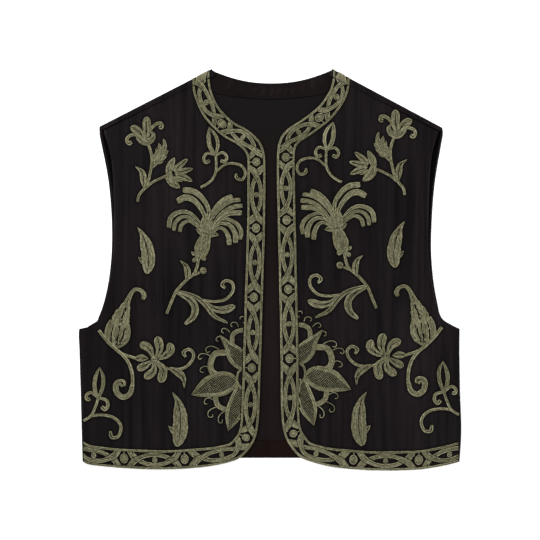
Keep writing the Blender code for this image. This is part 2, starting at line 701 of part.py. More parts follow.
def border_side_x(y, side):
    """x of the border's inner edge, along the straight of the front."""
    rows = sorted(EDGES, key=lambda row: row.y)
    for low, high in zip(rows, rows[1:]):
        if y <= high.y:
            break
    t = (y - low.y) / (high.y - low.y)
    a, b = getattr(low, side), getattr(high, side)
    return a + (b - a) * t + sign_of(side) * 2 * BORDER_HALF


def clear_of_border(face, side):
    """A face cut back to the border's inner edge by moving its points there, or None where nothing is left."""
    sign = sign_of(side)
    held = []
    for p in face:
        limit = border_side_x(p.y, side) + sign * CLEAR
        held.append(Vector((max(p.x, limit) if sign > 0 else min(p.x, limit), p.y)))
    return held if abs(area_of(held)) > 0.02 else None


def closed_loops(triangles):
    """Rim of a set of triangles as closed loops of point numbers, with the inside on the left."""
    sides = {(a, b) for t in triangles for a, b in zip(t, (*t[1:], t[0]))}
    following = {}
    for a, b in sides:
        if (b, a) not in sides:
            following.setdefault(a, []).append(b)
    loops = []
    while following:
        start = min(following)
        loop = [start]
        while True:
            onward = following[loop[-1]]
            loop.append(onward.pop())
            if not onward:
                del following[loop[-2]]
            if loop[-1] == start:
                break
        loops.append(loop[:-1])
    return loops


def area_of(loop):
    return 0.5 * sum(a.x * b.y - b.x * a.y for a, b in zip(loop, loop[1:] + loop[:1]))


def thinned(line, tolerance):
    """A line of points without those that lie within the tolerance of the rest."""
    if len(line) < 3:
        return line
    start, end = line[0], line[-1]
    run = end - start
    far, where = -1.0, 0
    for k in range(1, len(line) - 1):
        t = min(1.0, max(0.0, (line[k] - start).dot(run) / run.length_squared)) if run.length > 0 else 0.0
        off = (line[k] - start - run * t).length
        if off > far:
            far, where = off, k
    if far <= tolerance:
        return [start, end]
    return thinned(line[: where + 1], tolerance)[:-1] + thinned(line[where:], tolerance)


def thinned_loop(loop, tolerance):
    far = max(range(len(loop)), key=lambda k: (loop[k] - loop[0]).length)
    return thinned(loop[: far + 1], tolerance)[:-1] + thinned(loop[far:] + loop[:1], tolerance)[:-1]


def inside(p, loops):
    """True where a line from p crosses the loops an odd number of times."""
    odd = False
    for loop in loops:
        for a, b in zip(loop, loop[1:] + loop[:1]):
            if (a.y > p.y) != (b.y > p.y) and p.x < a.x + (p.y - a.y) * (b.x - a.x) / (b.y - a.y):
                odd = not odd
    return odd


def from_rim(p, loops):
    """Distance from p to the nearest of the loops."""
    nearest = 1e9
    for loop in loops:
        for a, b in zip(loop, loop[1:] + loop[:1]):
            run = b - a
            t = min(1.0, max(0.0, (p - a).dot(run) / run.length_squared))
            nearest = min(nearest, (p - a - run * t).length)
    return nearest


def united(faces):
    """Outline of overlapping faces, as closed loops of points."""
    points, index = [], {}
    numbered = []
    triangles = [[face[0], *pair] for face in faces for pair in zip(face[1:], face[2:])]
    for face in triangles:
        area = area_of(face)
        if abs(area) < 1e-3:
            continue
        corners = []
        for p in face if area > 0 else reversed(face):
            key = (round(p.x, 3), round(p.y, 3))
            if key not in index:
                index[key] = len(points)
                points.append(Vector(key))
            corners.append(index[key])
        numbered.append(corners)
    found, _, triangles, _, _, owners = delaunay_2d_cdt(points, [], numbered, 0, 1e-4, True)
    kept = [t for t, owner in zip(triangles, owners) if owner]
    whole = [[found[v] for v in loop] for loop in closed_loops(kept)]
    whole = [loop for loop in whole if abs(area_of(loop)) > SMALLEST_HOLE]
    return whole


def triangulated(whole, ridge):
    """Points and triangles inside the thinned loops, and how many of the points are rim.

    ridge lists further points, which are kept where they lie well inside the outline.
    """
    tolerance = THINNING
    while True:
        loops = [thinned_loop(loop, tolerance) for loop in whole]
        loops = [loop for loop in loops if len(loop) > 2]
        corners = [p for loop in loops for p in loop]
        rim = len(corners)
        edges, first = [], 0
        for loop in loops:
            edges += [(first + k, first + (k + 1) % len(loop)) for k in range(len(loop))]
            first += len(loop)
        inner = [p for p in ridge if inside(p, loops) and from_rim(p, loops) > 1.3]
        found, _, triangles, _, _, _ = delaunay_2d_cdt(corners + inner, edges, [], 0, 1e-5, True)
        if len(found) == len(corners) + len(inner) or tolerance < 0.02:
            break
        tolerance /= 2
    kept = [t for t in triangles if inside((found[t[0]] + found[t[1]] + found[t[2]]) / 3, loops)]
    return found, kept, rim


def pad(name, points, faces, rim, surface, collection):
    """A closed pad over flat faces, lying just off the cloth, and higher past the first rim points.

    surface gives the point of the cloth and its outward direction for a point of the plan.
    """
    body = bmesh.new()
    low, high = {}, {}
    for v in sorted({v for face in faces for v in face}):
        point, out = surface(points[v])
        low[v] = body.verts.new((point + out * LIFT) * MM)
        high[v] = body.verts.new((point + out * (LIFT + (RIM if v < rim else RIDGE))) * MM)
    sides = {(a, b) for face in faces for a, b in zip(face, (*face[1:], face[0]))}
    for face in faces:
        body.faces.new([high[v] for v in face])
        body.faces.new([low[v] for v in reversed(face)])
    for a, b in sorted(sides):
        if (b, a) not in sides:
            body.faces.new((low[a], low[b], high[b], high[a]))
    bmesh.ops.recalc_face_normals(body, faces=body.faces)
    mesh_data = bpy.data.meshes.new(name)
    body.to_mesh(mesh_data)
    body.free()
    return new_object(name, mesh_data, "stitching", collection)


def on_front(p):
    return Vector((p.x, p.y, front_height(p.x, p.y))), Vector((0, 0, 1))


def windows(first, second):
    """Gaps of one repeat of the border, from one roundel to the next, as loops of (s, d)."""
    span = second - first
    made = []
    half = [(first + t * span, d) for t, d in VESICA]
    half[-1] = (first + span / 2 - DOT, half[-1][1])
    lens = half + [(s, -d) for s, d in reversed(half[1:])]
    made.append(lens)
    made.append([(first + second - s, d) for s, d in lens])
    for flip in (1, -1):
        corner = [(first + t * span, flip * d) for t, d in SPANDREL]
        made.append(corner)
        made.append([(first + second - s, d) for s, d in corner])
    return made


def roundel_window(at):
    """The hexagonal gap round a roundel, with the bar that holds the roundel on the inner side."""
    start = math.asin(BAR / ROUNDEL)
    turns = [math.pi / 2 + start + (2 * math.pi - 2 * start) * k / 8 for k in range(9)]
    ring = [(at + ROUNDEL * math.cos(a), ROUNDEL * math.sin(a)) for a in turns]
    outer = [(at + s, d) for s, d in HEXAGON]
    return [(at - BAR, 9.0), outer[5], *outer[:5], (at + BAR, 9.0), *reversed(ring)]


def border_loops(side):
    """Outline and windows of the border in the plane."""
    edge = whole_edge(side)
    corner = Path(edge_points(side)).length
    inward = -1 if side == "right" else 1
    start, stop = 0.4, edge.length - 1.4
    seam_neck, seam_tip = shoulder_seam(side)
    seam_run = (seam_tip - seam_neck).normalized()

    def placed(s, d):
        past = min(1.0, max(0.0, (s - corner - 20) / 60))
        half = BORDER_HALF + (BORDER_HALF_AT_HEM - BORDER_HALF) * past
        upright = min(1.0, max(0.0, (s - edge.length + 110) / 60))
        by_seam = max(0.0, 1 - s / 25)
        across = (edge.normal(s, 8.0) * inward).lerp(Vector((0, 1)), upright).lerp(seam_run, by_seam).normalized()
        return edge.point(s) + across * (half + d * half / BORDER_HALF)

    steps = [start + (stop - start) * k / 190 for k in range(191)]
    outline = [placed(s, -BORDER_HALF) for s in steps] + [placed(s, BORDER_HALF) for s in reversed(steps)]
    loops = [outline]
    gaps = [roundel_window(at) for at in ROUNDELS[side] if start + 11 < at < stop - 11]
    for first, second in zip(ROUNDELS[side], ROUNDELS[side][1:]):
        gaps += windows(first, second)
    for gap in gaps:
        held = [(min(max(s, start + 2.0), stop - 2.0), d) for s, d in gap]
        if max(s for s, d in held) - min(s for s, d in held) > 4.0:
            loops.append([placed(s, d) for s, d in held])
    return loops


def border_over_shoulder(side, collection):
    """The short stretch of border that runs on from the seam, over the shoulder fold, to the back."""
    neck, tip, out = shoulder_line(side)
    along = (tip - neck).normalized()
    flat_run = SEAM_AT_NECK - FOLD
    down_to = FOLD * math.radians(100)

    def wrapped(p):
        """p.x is along the shoulder from the neck, p.y up from the seam over the fold."""
        base = neck - out * FOLD + along * p.x
        if p.y <= flat_run:
            return (base - out * (flat_run - p.y)).to_3d() + Vector((0, 0, SHOULDER_TOP)), Vector((0, 0, 1))
        angle = math.pi / 2 - (p.y - flat_run) / FOLD
        direction = (out * math.cos(angle)).to_3d() + Vector((0, 0, math.sin(angle)))
        return base.to_3d() + Vector((0, 0, FOLD)) + direction * FOLD, direction

    first, last = 0.9, flat_run + down_to
    levels = [first, first + 1.6, flat_run, flat_run + 0.3 * down_to, flat_run + 0.65 * down_to, last]
    wide = 2 * BORDER_HALF
    points = []
    for row, y in enumerate(levels):
        lean = 1.3 * row
        points += [Vector((x, y)) for x in (0.4, 4.0, 7.0 + lean, 10.0 + lean, wide - 4.0, wide - 0.4)]
    faces = []
    for row in range(len(levels) - 1):
        for column in range(5):
            if column in (1, 3) and row in (1, 2):
                continue
            low = 6 * row + column
            faces.append((low, low + 1, low + 7, low + 6))
    pad("border_shoulder_" + side, points, faces, len(points), wrapped, collection)


def embroidery(side, collection):
    pad("border_" + side, *triangulated(border_loops(side), []), on_front, collection)
    border_over_shoulder(side, collection)
    mirror = 1 if side == "right" else -1
    for motif in MOTIFS:
        place = Vector(getattr(motif, side))
        faces, ridge = [], []
        for blade in motif.blades:
            spine = tuple((place.x + mirror * x, place.y + y) for x, y in blade.spine)
            made, along = blade_faces(blade._replace(spine=spine), 4.0)
            if motif.name == "half_flower":
                made = [kept for kept in (clear_of_border(face, side) for face in made) if kept]
            faces += made
            ridge += along
        pad(f"{motif.name}_{side}", *triangulated(united(faces), ridge), on_front, collection)


def main():
    for old in list(bpy.data.objects):
        bpy.data.objects.remove(old)
    collection = bpy.data.collections.new("vest")
    bpy.context.scene.collection.children.link(collection)
    back_panel(collection)
    inner_pieces(collection)
    for side in ("right", "left"):
        front_panel(side, collection)
        embroidery(side, collection)


main()
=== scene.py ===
"""Looks of the embroidered open-front vest, laid flat on its back and seen from straight above.

The tables give the same outline, layers and motifs as the solids do, in millimetres.
Every mesh is scaled to metres when it is made. "right" and "left" are the wearer's.
"""

import math
import random
from collections import namedtuple

import bpy
import numpy as np
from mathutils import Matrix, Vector
from mathutils.kdtree import KDTree


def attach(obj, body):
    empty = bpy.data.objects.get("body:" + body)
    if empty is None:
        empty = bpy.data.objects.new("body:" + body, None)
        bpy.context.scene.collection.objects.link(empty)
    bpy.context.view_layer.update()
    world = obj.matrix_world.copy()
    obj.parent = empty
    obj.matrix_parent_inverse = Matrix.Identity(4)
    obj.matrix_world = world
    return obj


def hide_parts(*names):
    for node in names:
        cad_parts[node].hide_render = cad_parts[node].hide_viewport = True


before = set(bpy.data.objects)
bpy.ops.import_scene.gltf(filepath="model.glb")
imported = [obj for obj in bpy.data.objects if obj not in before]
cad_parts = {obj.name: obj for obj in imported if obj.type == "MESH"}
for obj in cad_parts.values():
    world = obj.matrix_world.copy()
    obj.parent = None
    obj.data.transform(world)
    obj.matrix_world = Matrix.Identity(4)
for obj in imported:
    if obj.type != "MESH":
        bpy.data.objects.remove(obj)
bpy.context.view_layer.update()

MM = 0.001
random.seed(7)

# Cloth layers
SHELL = 1.0  # back cloth wall
LINING = 1.0
FACING = 1.2
FRONT = 1.5  # front cloth with its facing, one wall
GAP = 0.3  # between pieces that touch
INSIDE = SHELL + GAP  # underside of what lies inside the back
FRONT_TOP = 4.6  # a front's outer face at its edges
SEAM_LOW = 2.55  # end of the back's rolled side edge
SEAM_HIGH = SEAM_LOW + GAP  # end of a front's rolled side edge
ROLL = 3.2  # how far in from the side seam the cloth starts to roll
SHOULDER_TOP = 5.4
FOLD = SHOULDER_TOP / 2  # radius of the shoulder fold
SEAM_AT_NECK = 9.2  # shoulder seam, forward of the fold line
SEAM_AT_TIP = 5.5
SEAM_START = {"right": 8.2, "left": 6.3}  # from the neck end of the shoulder, along it
SEAM_LAP = 0.25  # how far the back runs on past the seam, over the front
TIP_INSET = 4  # a front's corner at the top of the armhole, in from the back's
TIP_ROUND = 2.8  # radius of the fold's rounded end at the armhole
TIP_REACH = 6.0  # how far in from there the fold's end is drawn to the armhole's line
SHOULDER_REACH = 22.0  # how far down the front the shoulder's height is felt

# Outline
NECK_RIGHT = (-75.4, 260.8)  # where the folded shoulder meets the neck
NECK_LEFT = (80.6, 260.9)
TIP_RIGHT = (-222.4, 185.4)  # where it meets the armhole
TIP_LEFT = (224.9, 183.9)
NECK_LOW = 242.5  # middle of the back neck
NECK_MIDDLE_X = 2.0
NECK_POWER = 2.2
BACK_HEM = -244.4
NECK_FACING_DEPTH = 21.0
HEM_FACING_DEPTH = 23.0
FACING_SEAM = 0.8  # between the neck facing and the lining
LINING_INSET = 6.5
UNDERARM = -71.0
ARMHOLE_RIM_FROM = UNDERARM + 4  # where the armhole's rounded rim starts
ARMHOLE_PAINTED_LIGHT_FROM = UNDERARM + 6  # and where its painted shade and painted highlight do

# Meshes
RIM = (0.0, 0.35, 0.8, 1.4, 2.2)  # rows of points beside a rounded rim
INNER_RIM = (0.0, 0.4, 1.0)
SEAM_RIM = 6  # how much tighter the rim at the shoulder seam is rounded than the hem's
NOT_NEAR = 99.0  # stands for a rim that is far away
SHOULDER_SHARE = 0.34  # of the back's width, for each shoulder
COLUMNS = 40  # columns of points on each shoulder, and along the neck

Side = namedtuple("Side", "y right left inset_right inset_left")
# Side seam and armhole from the hem up. right and left are the back's x; the front lies inset inside it.
SIDES = (
    Side(-249, -243.4, 246.0, 0, 0),
    Side(-208, -244.5, 248.2, 0, 0),
    Side(-156, -245.8, 246.6, 0, 0),
    Side(-104, -247.4, 245.8, 0, 0),
    Side(-79, -248.0, 246.0, 0, 0),
    Side(-76.4, -243.6, 245.8, 0, 0),
    Side(-72.0, -228.0, 236.8, 0, 0),
    Side(-62, -223.0, 222.8, 0.6, 0.8),
    Side(-42, -215.8, 217.3, 1.2, 1.6),
    Side(-12, -209.4, 212.2, 2.0, 2.8),
    Side(25, -205.8, 209.4, 3.0, 3.8),
    Side(65, -205.8, 210.3, 3.8, 4.8),
    Side(103, -208.5, 213.0, 5.6, 6.6),
    Side(130, -212.4, 216.6, 8.2, 8.8),
    Side(155, -217.4, 221.0, 9.6, 9.8),
    Side(176, -221.6, 224.6, 7.2, 7.4),
)
SIDE_SEAM = slice(0, 5)  # the rows below the underarm

# Neck and front edge from the shoulder seam down; the first row is level with the seam.
Edge = namedtuple("Edge", "y right left")
EDGES = (
    Edge(249, -78.4, 82.2),
    Edge(233, -76.2, 77.6),
    Edge(214, -68.2, 64.8),
    Edge(201, -57.5, 49.6),
    Edge(191, -46.0, 35.3),
    Edge(184, -33.0, 24.6),
    Edge(175, -21.0, 16.0),
    Edge(164, -11.8, 11.0),
    Edge(148, -6.6, 9.0),
    Edge(117, -6.0, 9.0),
    Edge(52, -6.6, 10.3),
    Edge(-24, -9.0, 12.0),
    Edge(-107, -11.4, 13.6),
    Edge(-169, -13.4, 14.2),
    Edge(-197, -14.8, 15.4),
    Edge(-216, -18.2, 19.4),
    Edge(-231, -26.2, 28.0),
)

# The fronts' hems from the rounded corner out, at a distance x from the middle.
Hem = namedtuple("Hem", "x right left")
HEMS = (
    Hem(39, -243.8, -242.8),
    Hem(55, -250.0, -249.4),
    Hem(80, -255.0, -255.6),
    Hem(117, -258.3, -259.4),
    Hem(155, -258.8, -260.4),
    Hem(195, -256.8, -259.0),
    Hem(225, -253.8, -254.0),
    Hem(236, -252.2, -251.6),
)

# Soft swells of the fronts, at a distance x from the middle.
Swell = namedtuple("Swell", "x y across along height")
SWELLS = (
    Swell(150, -150, 70, 75, 1.7),
    Swell(125, 20, 60, 90, 1.5),
    Swell(150, 120, 55, 60, 1.2),
    Swell(205, -110, 45, 40, 0.9),
)
FOLD_WAVE = 84.0  # spacing of the fronts' broad vertical folds
FOLD_HEIGHT = 0.3
# Fine vertical ripples: height, spacing, and how far and how often they wander.
RIPPLES = ((0.06, 2.9, 1.4, 47), (0.05, 1.7, 2, 31))
# Soft ridges and troughs on the fronts: start, end, width and height.
CREASES = {
    "right": (
        ((-196, 168), (-188, 60), 5, -0.45),
        ((-178, 172), (-182, 120), 6, 0.4),
        ((-150, 200), (-148, 150), 7, -0.5),
        ((-118, 190), (-122, 165), 6, 0.35),
        ((-205, -20), (-190, -80), 9, 0.5),
        ((-226, -92), (-196, -60), 7, -0.6),
        ((-140, -150), (-134, -232), 8, 0.45),
        ((-160, -165), (-158, -240), 6, -0.4),
        ((-70, -40), (-76, -190), 9, -0.4),
        ((-96, -150), (-88, -235), 7, 0.35),
        ((-46, 60), (-50, 10), 7, 0.3),
        ((-232, -190), (-226, -245), 6, 0.4),
    ),
    "left": (
        ((198, 170), (194, 40), 5, -0.45),
        ((176, 178), (184, 118), 6, 0.4),
        ((146, 204), (150, 160), 7, -0.45),
        ((116, 196), (112, 172), 6, 0.35),
        ((206, -16), (194, -84), 9, 0.5),
        ((224, -88), (198, -62), 7, -0.6),
        ((148, -140), (152, -236), 8, -0.45),
        ((168, -170), (166, -238), 6, 0.4),
        ((80, -36), (72, -186), 9, 0.4),
        ((92, -160), (98, -232), 7, -0.35),
        ((52, 70), (48, 0), 7, -0.3),
        ((234, -186), (230, -242), 6, 0.4),
    ),
}
# Slanted wrinkles of the neck facing: x, y, slant, length, width, height
WRINKLES = (
    (-52, 240, 0.5, 12, 3.0, 0.45),
    (-38, 236, 0.4, 10, 2.6, 0.35),
    (-20, 232, 0.3, 9, 2.4, 0.4),
    (-8, 231, 0.35, 9, 2.2, 0.45),
    (3, 230, 0.4, 9, 2.2, 0.5),
    (12, 231, 0.45, 9, 2.0, 0.55),
    (21, 231, 0.45, 9, 2.0, 0.5),
    (30, 232, 0.4, 9, 2.2, 0.45),
    (43, 236, 0.2, 10, 2.6, 0.35),
    (56, 241, 0.1, 11, 3.0, 0.4),
    (67, 246, 0.0, 11, 3.0, 0.35),
)

# Embroidered border, s along it from the shoulder seam and d across it from its middle, inward
BORDER_HALF = 11.6
BORDER_HALF_AT_HEM = 12.6
PAST_CORNER = 20  # the hem's own measures start this far past the corner
RAILS = (-10.85, -9.4, 9.4, 10.85)  # d of the rails' rows
RAIL_ROW = 1.5
RAIL_INSIDE = 8.7  # the strands end at this d
STRAND_ROW = 1.62
STRAND_RISE = 0.28  # how far a strand rises where it passes over the other
CROSSING = 0.21  # place of a crossing from either end of a repeat, as a share of it
NECK_REPEAT = 1  # round the corner of the neck, the middle of this repeat lies nearer the shoulder
NECK_LEAN = 1.76
SEAM_EARLY = 11.0  # how much sooner the right front's first strands start
ROUNDEL = 5.7
ROUNDEL_ROWS = (0.85, 2.75, 4.3)  # in from its edge
DISC_ROWS = (2.7, 1.05)  # radii of the rows of the disc in the middle of a repeat
ROUNDELS = {
    "right": (-1.5, 58, 137.5, 224.2, 314, 405.5, 501.5, 602.5, 682, 761),
    "left": (-9, 51.5, 133, 215.2, 305, 394.5, 496.5, 600, 686, 767),
}
# Over the shoulder the strands lie side by side. In from the band's two edges, at the seam and at the fold.
SHOULDER_SPANS = {"right": ((6.8, 3.6), (3.8, 7.2)), "left": ((4.0, 4.0), (8.2, 7.0))}
SHOULDER_ROWS = 10

# Chain stitch
ROW = 1.75  # width of a row
STITCH = 2.7
RINGS = 3  # cross-sections in a stitch
HEIGHT = 1.05
SINK = 0.15  # how far a row's sides go into the cloth
WOBBLE = 0.07  # how far a stitch may lie to either side of its row's line
THREAD_STEP = 1.1  # cross-sections of a plain thread
PAIR_GAP = 0.25  # bare cloth between one pair of rows and the next
MIDDLE_GAP = 0.5  # half the bare line down the middle of a petal or leaf
VEIN_HALF = 0.68  # half the bare line of a drawn vein
UNDERLAP = 0.7  # how far a row runs on under a later shape
NET_TURNS = ((38, 0.0), (-52, 0.18))  # angle of each set of a net's threads, and how high it lies
NET_SPACING = 2.3
VEINED = ("petal", "leaf", "seed", "paisley", "claw", "tongue")
ROUND_TIPPED = ("petal", "lobe", "paisley", "bulb", "seed", "claw", "tongue")

Blade = namedtuple("Blade", "profile width spine")

UPPER_SPRIG = (
    ("stem", 3.8, ((-0.5, 0), (1.5, 9), (9, 18), (13.5, 28), (16.3, 40), (18, 52), (17.3, 62), (13, 76))),
    ("stem", 3.5, ((10, 18), (20, 26), (37, 34))),
    ("seed", 9, ((7.5, 19), (7, 30), (5, 39), (-3.5, 46))),
    ("leaf", 5.6, ((24, 50), (21, 55), (19, 62.5))),
    ("leaf", 5.6, ((28, 57), (25, 63), (23.5, 70.5))),
    ("leaf", 5.6, ((32, 64), (28.6, 69), (27, 77))),
    ("leaf", 5.6, ((22, 51), (28, 51.5), (33.4, 53.6))),
    ("leaf", 5.6, ((26, 56), (32, 57), (37.6, 60))),
    ("leaf", 5.6, ((30, 62), (35, 63), (39.4, 67))),
    ("core", 12.6, ((18, 44), (23, 54), (29, 63), (34.5, 72), (33, 82))),
    ("tongue", 8.2, ((46.5, 39.5), (54, 47), (64, 55.5))),
    ("tongue", 8.2, ((47.5, 37.5), (59, 40), (71, 43))),
    ("tongue", 8.8, ((47.5, 35.5), (59, 32), (70, 27))),
    ("tongue", 6, ((48, 33.5), (52.5, 29.5), (57.5, 27))),
    ("lobe", 9.6, ((39.6, 30), (39.8, 39), (42, 47), (47, 57))),
    ("lobe", 11.8, ((39.6, 43), (40.8, 32), (45.4, 25), (53.5, 18.5))),
    ("petal", 11, ((10, 80), (11, 95), (11.5, 110))),
    ("petal", 10.5, ((8.5, 80), (1.5, 90.5), (-9, 97.5))),
    ("hook", 4.6, ((12, 84), (17, 95), (23.5, 101), (29.5, 102), (31, 97.5), (27, 96))),
    ("hook", 4.6, ((4, 84), (-4, 87), (-11, 85.5), (-14.5, 80.5), (-12, 75.5), (-8, 78))),
    ("cup", 8.8, ((-2.5, 88), (1.4, 81.5), (9.5, 77.2), (17.2, 80.4), (20.2, 86.5), (17.4, 91))),
)

TREFOIL = (
    ("stem", 3.4, ((2, 2.5), (10, 7), (17, 13), (22, 25), (22, 47))),
    ("hook", 3.6, ((21, 22), (33, 32), (45, 34), (56, 30), (60, 21), (56, 13), (49, 15), (48, 21))),
    ("arc", 4.8, ((21, 44), (24.5, 57), (22, 69), (13, 81))),
    ("arc", 5.8, ((21, 44), (14.5, 55), (12.5, 67), (13, 81))),
    ("hook", 4.0, ((21, 45), (11, 47), (6, 41), (9, 35), (14, 38))),
    ("hook", 4.0, ((22, 45), (31, 48), (36, 42), (33, 36), (28, 38))),
)

SIDE_TREFOIL = (
    ("stem", 3.6, ((2, 0), (12, 7), (18, 19), (22, 31))),
    ("hook", 4.2, ((11, 6), (23, 8), (38, 6), (48, -1), (51, -10), (47, -20), (39, -21), (37, -13))),
    ("arc", 5.2, ((21, 28), (17, 42), (17.5, 55), (23, 70))),
    ("arc", 5.0, ((21, 28), (27, 43), (28, 57), (23, 70))),
    ("hook", 4.2, ((20, 31), (12, 37), (6, 33), (7, 28), (11, 29))),
    ("hook", 4.6, ((22, 30), (32, 27), (34, 20), (30, 15), (26, 19))),
)

CARNATION = (
    ("leaf", 17, ((1, 18), (-1, 3), (-2.5, -18))),
    ("leaf", 6.5, ((-5, -14), (-9, -8), (-15, -4))),
    ("leaf", 7.5, ((-1, -14), (7, -11), (15, -12))),
    ("plume", 5.2, ((-6.8, -14), (-10.7, -3.8), (-16.8, 2), (-23, 6), (-28.8, 5), (-34, 0.3), (-36.2, -8))),
    ("plume", 5.2, ((-5.8, -13), (-8, -3), (-14.8, 4.6), (-21.6, 10), (-29, 12), (-36.5, 9.8), (-42, 3),
        (-43.6, -6.6))),
    ("plume", 6.2, ((-5.0, -13), (-6, -1), (-11.7, 6.6), (-19.5, 14.4), (-29, 18.4), (-40, 16.6),
        (-48, 9.6), (-50, -2.6))),
    ("plume", 6.4, ((3.4, -14), (9.7, -6.2), (16.5, -2.6), (22.8, -6), (27.2, -14.7), (28.4, -25))),
    ("plume", 6.6, ((3.0, -13), (11, -0.6), (19.2, 3.3), (28.7, 0.8), (35.4, -9), (36.4, -22.2))),
    ("plume", 5.8, ((2.6, -12), (7, -1.4), (14, 7), (24.6, 9), (36.8, 3.4), (43.4, -6.5), (42, -18))),
    ("plume", 6.6, ((2.0, -13), (4.9, -6), (10.3, 1.2), (16.5, 8.6), (24.6, 14.6), (32.7, 16.7),
        (44.6, 17))),
    ("plume", 5.8, ((1.0, -13), (5, -1), (11, 7.4), (17.8, 15.4), (26, 21.4), (35.5, 25), (45.4, 26))),
    ("plume", 5.2, ((0.0, -13), (3.6, 4.4), (9.5, 14), (16.3, 22.2), (24.6, 28.8), (32.7, 32.6),
        (42.8, 34))),
    ("plume", 6.4, ((-1.0, -13), (2.4, 7), (6.4, 17), (13.2, 26.6), (21.9, 34), (32.4, 38.6))),
    ("plume", 8.2, ((-4.2, -13), (-3.2, 5.7), (-4.8, 15.4), (-10.2, 25), (-19, 34), (-29, 36.6),
        (-39.4, 31.6))),
    ("plume", 7.6, ((-2.4, -13), (-0.6, 0), (1, 11), (0.8, 23.4), (-7.3, 36.5), (-18.2, 44.6),
        (-32, 46.6))),
    ("leaf", 4.6, ((-15, -38), (-18, -36.5), (-21, -33))),
    ("bulb", 20, ((-1, -10.5), (-4.4, -20), (-6.9, -28.2), (-8.9, -36.4), (-11.4, -42.6))),
    ("petal", 5.6, ((-12.5, -41), (-15.5, -43), (-19, -46))),
    ("petal", 5.8, ((-9.5, -41.5), (-6, -42), (-2, -43))),
    ("stem", 4.0, ((-11, -42), (-16, -60), (-27, -70), (-40, -84), (-46, -97), (-53, -114))),
    ("seed", 8.6, ((-27, -72), (-25.5, -62), (-28, -52), (-35.5, -45))),
    ("stem", 3.2, ((-20, -64), (-13, -62), (-7, -58))),
    ("ring", 9, ((-10, -58), (-1, -58))),
    ("claw", 9.6, ((-41, -86), (-25, -94), (-16.5, -104), (-18, -117), (-28.5, -127))),
    ("claw", 6.6, ((-41, -84), (-25, -88), (-12, -94), (-2, -103), (9, -117), (25.5, -125.5))),
    ("hook", 4.0, ((-6, -96), (9, -98), (24, -95), (33, -84), (32, -74), (24, -71), (19, -76), (23, -81))),
    ("petal", 10, ((-2, -99), (8, -107), (21, -109), (35.5, -104))),
)

LEAF_SPRAY = (
    ("hook", 7.4, ((21, -46), (17.5, -57.5), (9, -62), (1.5, -57), (-0.8, -49), (1.5, -43.5), (7, -43),
        (9.5, -48))),
    ("leaf", 9.5, ((23, -12), (32, -11.2), (42, -12))),
    ("petal", 11.5, ((47.5, -10), (42, 1.5), (31, 7.5))),
    ("petal", 11.8, ((52, -10), (56, 1), (53, 16))),
    ("petal", 11, ((52.5, -12), (62, -9), (70, -1.5), (68.5, 8))),
    ("petal", 10, ((46.5, -15), (38, -20.5), (27.5, -26))),
    ("petal", 11, ((48.5, -17), (48, -28), (37, -37))),
    ("petal", 12, ((51.5, -16), (60.5, -26), (57.5, -42.5))),
    ("ring", 9, ((44.5, -12.8), (53.5, -12.8))),
    ("hook", 4.0, ((53, -15), (64, -24), (85, -25), (97, -16), (100, -6), (94, 0), (87, -4), (90, -10))),
    ("seed", 9.5, ((68, -24), (80, -30), (87, -38), (88, -50))),
    ("lobe", 13, ((-2.5, 1), (-8.8, 14), (-7.6, 38))),
    ("lobe", 12.5, ((0.5, 0.5), (10.8, 14), (14, 37))),
    ("lobe", 9.6, ((-1.5, 1), (-0.6, 18), (1.6, 40))),
    ("lobe", 9.6, ((-0.5, 1), (6.2, 17), (8.4, 40))),
    ("spire", 24, ((2.5, 27), (6, 40), (9.5, 49), (13.6, 60), (18.4, 71), (24, 77.4), (31.5, 76.4),
        (36, 70.5), (34, 64.5))),
    ("stem", 3.8, ((-2, 1.2), (9.3, -6.3), (26, -11.8))),
    ("stem", 4.6, ((-23, 24.8), (-13.5, 12.8), (-1.5, 0.9), (9.3, -8.2), (17, -19.6), (20.8, -33.6),
        (21, -49))),
)
# Bare lines in the leaf spray's broad leaf
LEAF_VEINS = (
    ((-6, 8), (-6.6, 20), (-3.4, 31)),
    ((0, 6), (2.4, 18), (4.6, 30)),
    ((3.4, 6), (8.4, 15), (11.2, 28)),
    ((6.4, 36), (9.6, 46), (13, 54)),
)

UPPER_PAISLEY = (
    ("leaf", 6.5, ((1, -20), (-7, -13), (-13, -7))),
    ("paisley", 18, ((-13.5, 31), (-7.5, 22), (-3, 10), (-0.2, -2), (0.5, -15), (-1.5, -28))),
)

LOWER_PAISLEY = (
    ("leaf", 7.5, ((2, -18), (-7, -11), (-14.5, -3))),
    ("paisley", 20, ((-9, 40), (-2.5, 29), (0, 17), (1, 3), (0.3, -12), (-3.5, -29))),
)

HALF_FLOWER = (
    ("stem", 5.8, ((3, 62.5), (-9, 60.5), (-15.6, 54.5), (-15.6, 42))),
    ("stem", 7.8, ((-21, 33), (-38, 31), (-44, 18), (-42, 8), (-34, 3))),
    ("stem", 6.4, ((-38, -19), (-35, -35), (-21, -43))),
    ("arc", 5.0, ((-2, 10), (-13, 17), (-19.6, 26), (-22.6, 38), (-32, 55.5))),
    ("arc", 3.8, ((3, 31), (-10, 40), (-21, 46.5), (-32, 55.5))),
    ("arc", 5.8, ((-10.4, -3), (-17, 3.6), (-31, 5.4), (-50, -2), (-69, -22))),
    ("arc", 5.6, ((-9.4, -5), (-15, -13), (-28, -20.6), (-47, -22.6), (-69, -22))),
    ("arc", 4.8, ((-8, -9), (-15.4, -24), (-22.6, -46), (-21, -69))),
    ("arc", 4.6, ((-3, -8), (-1, -32), (-6, -50), (-21, -69))),
    ("stem", 3.0, ((0, 12.5), (-7, 8.5), (-9.6, 0), (-8.4, -8), (-2, -15))),
)
# Pairs of the half flower's arcs that hold a net between them.
NETS = ((3, 4), (5, 6), (7, 8))
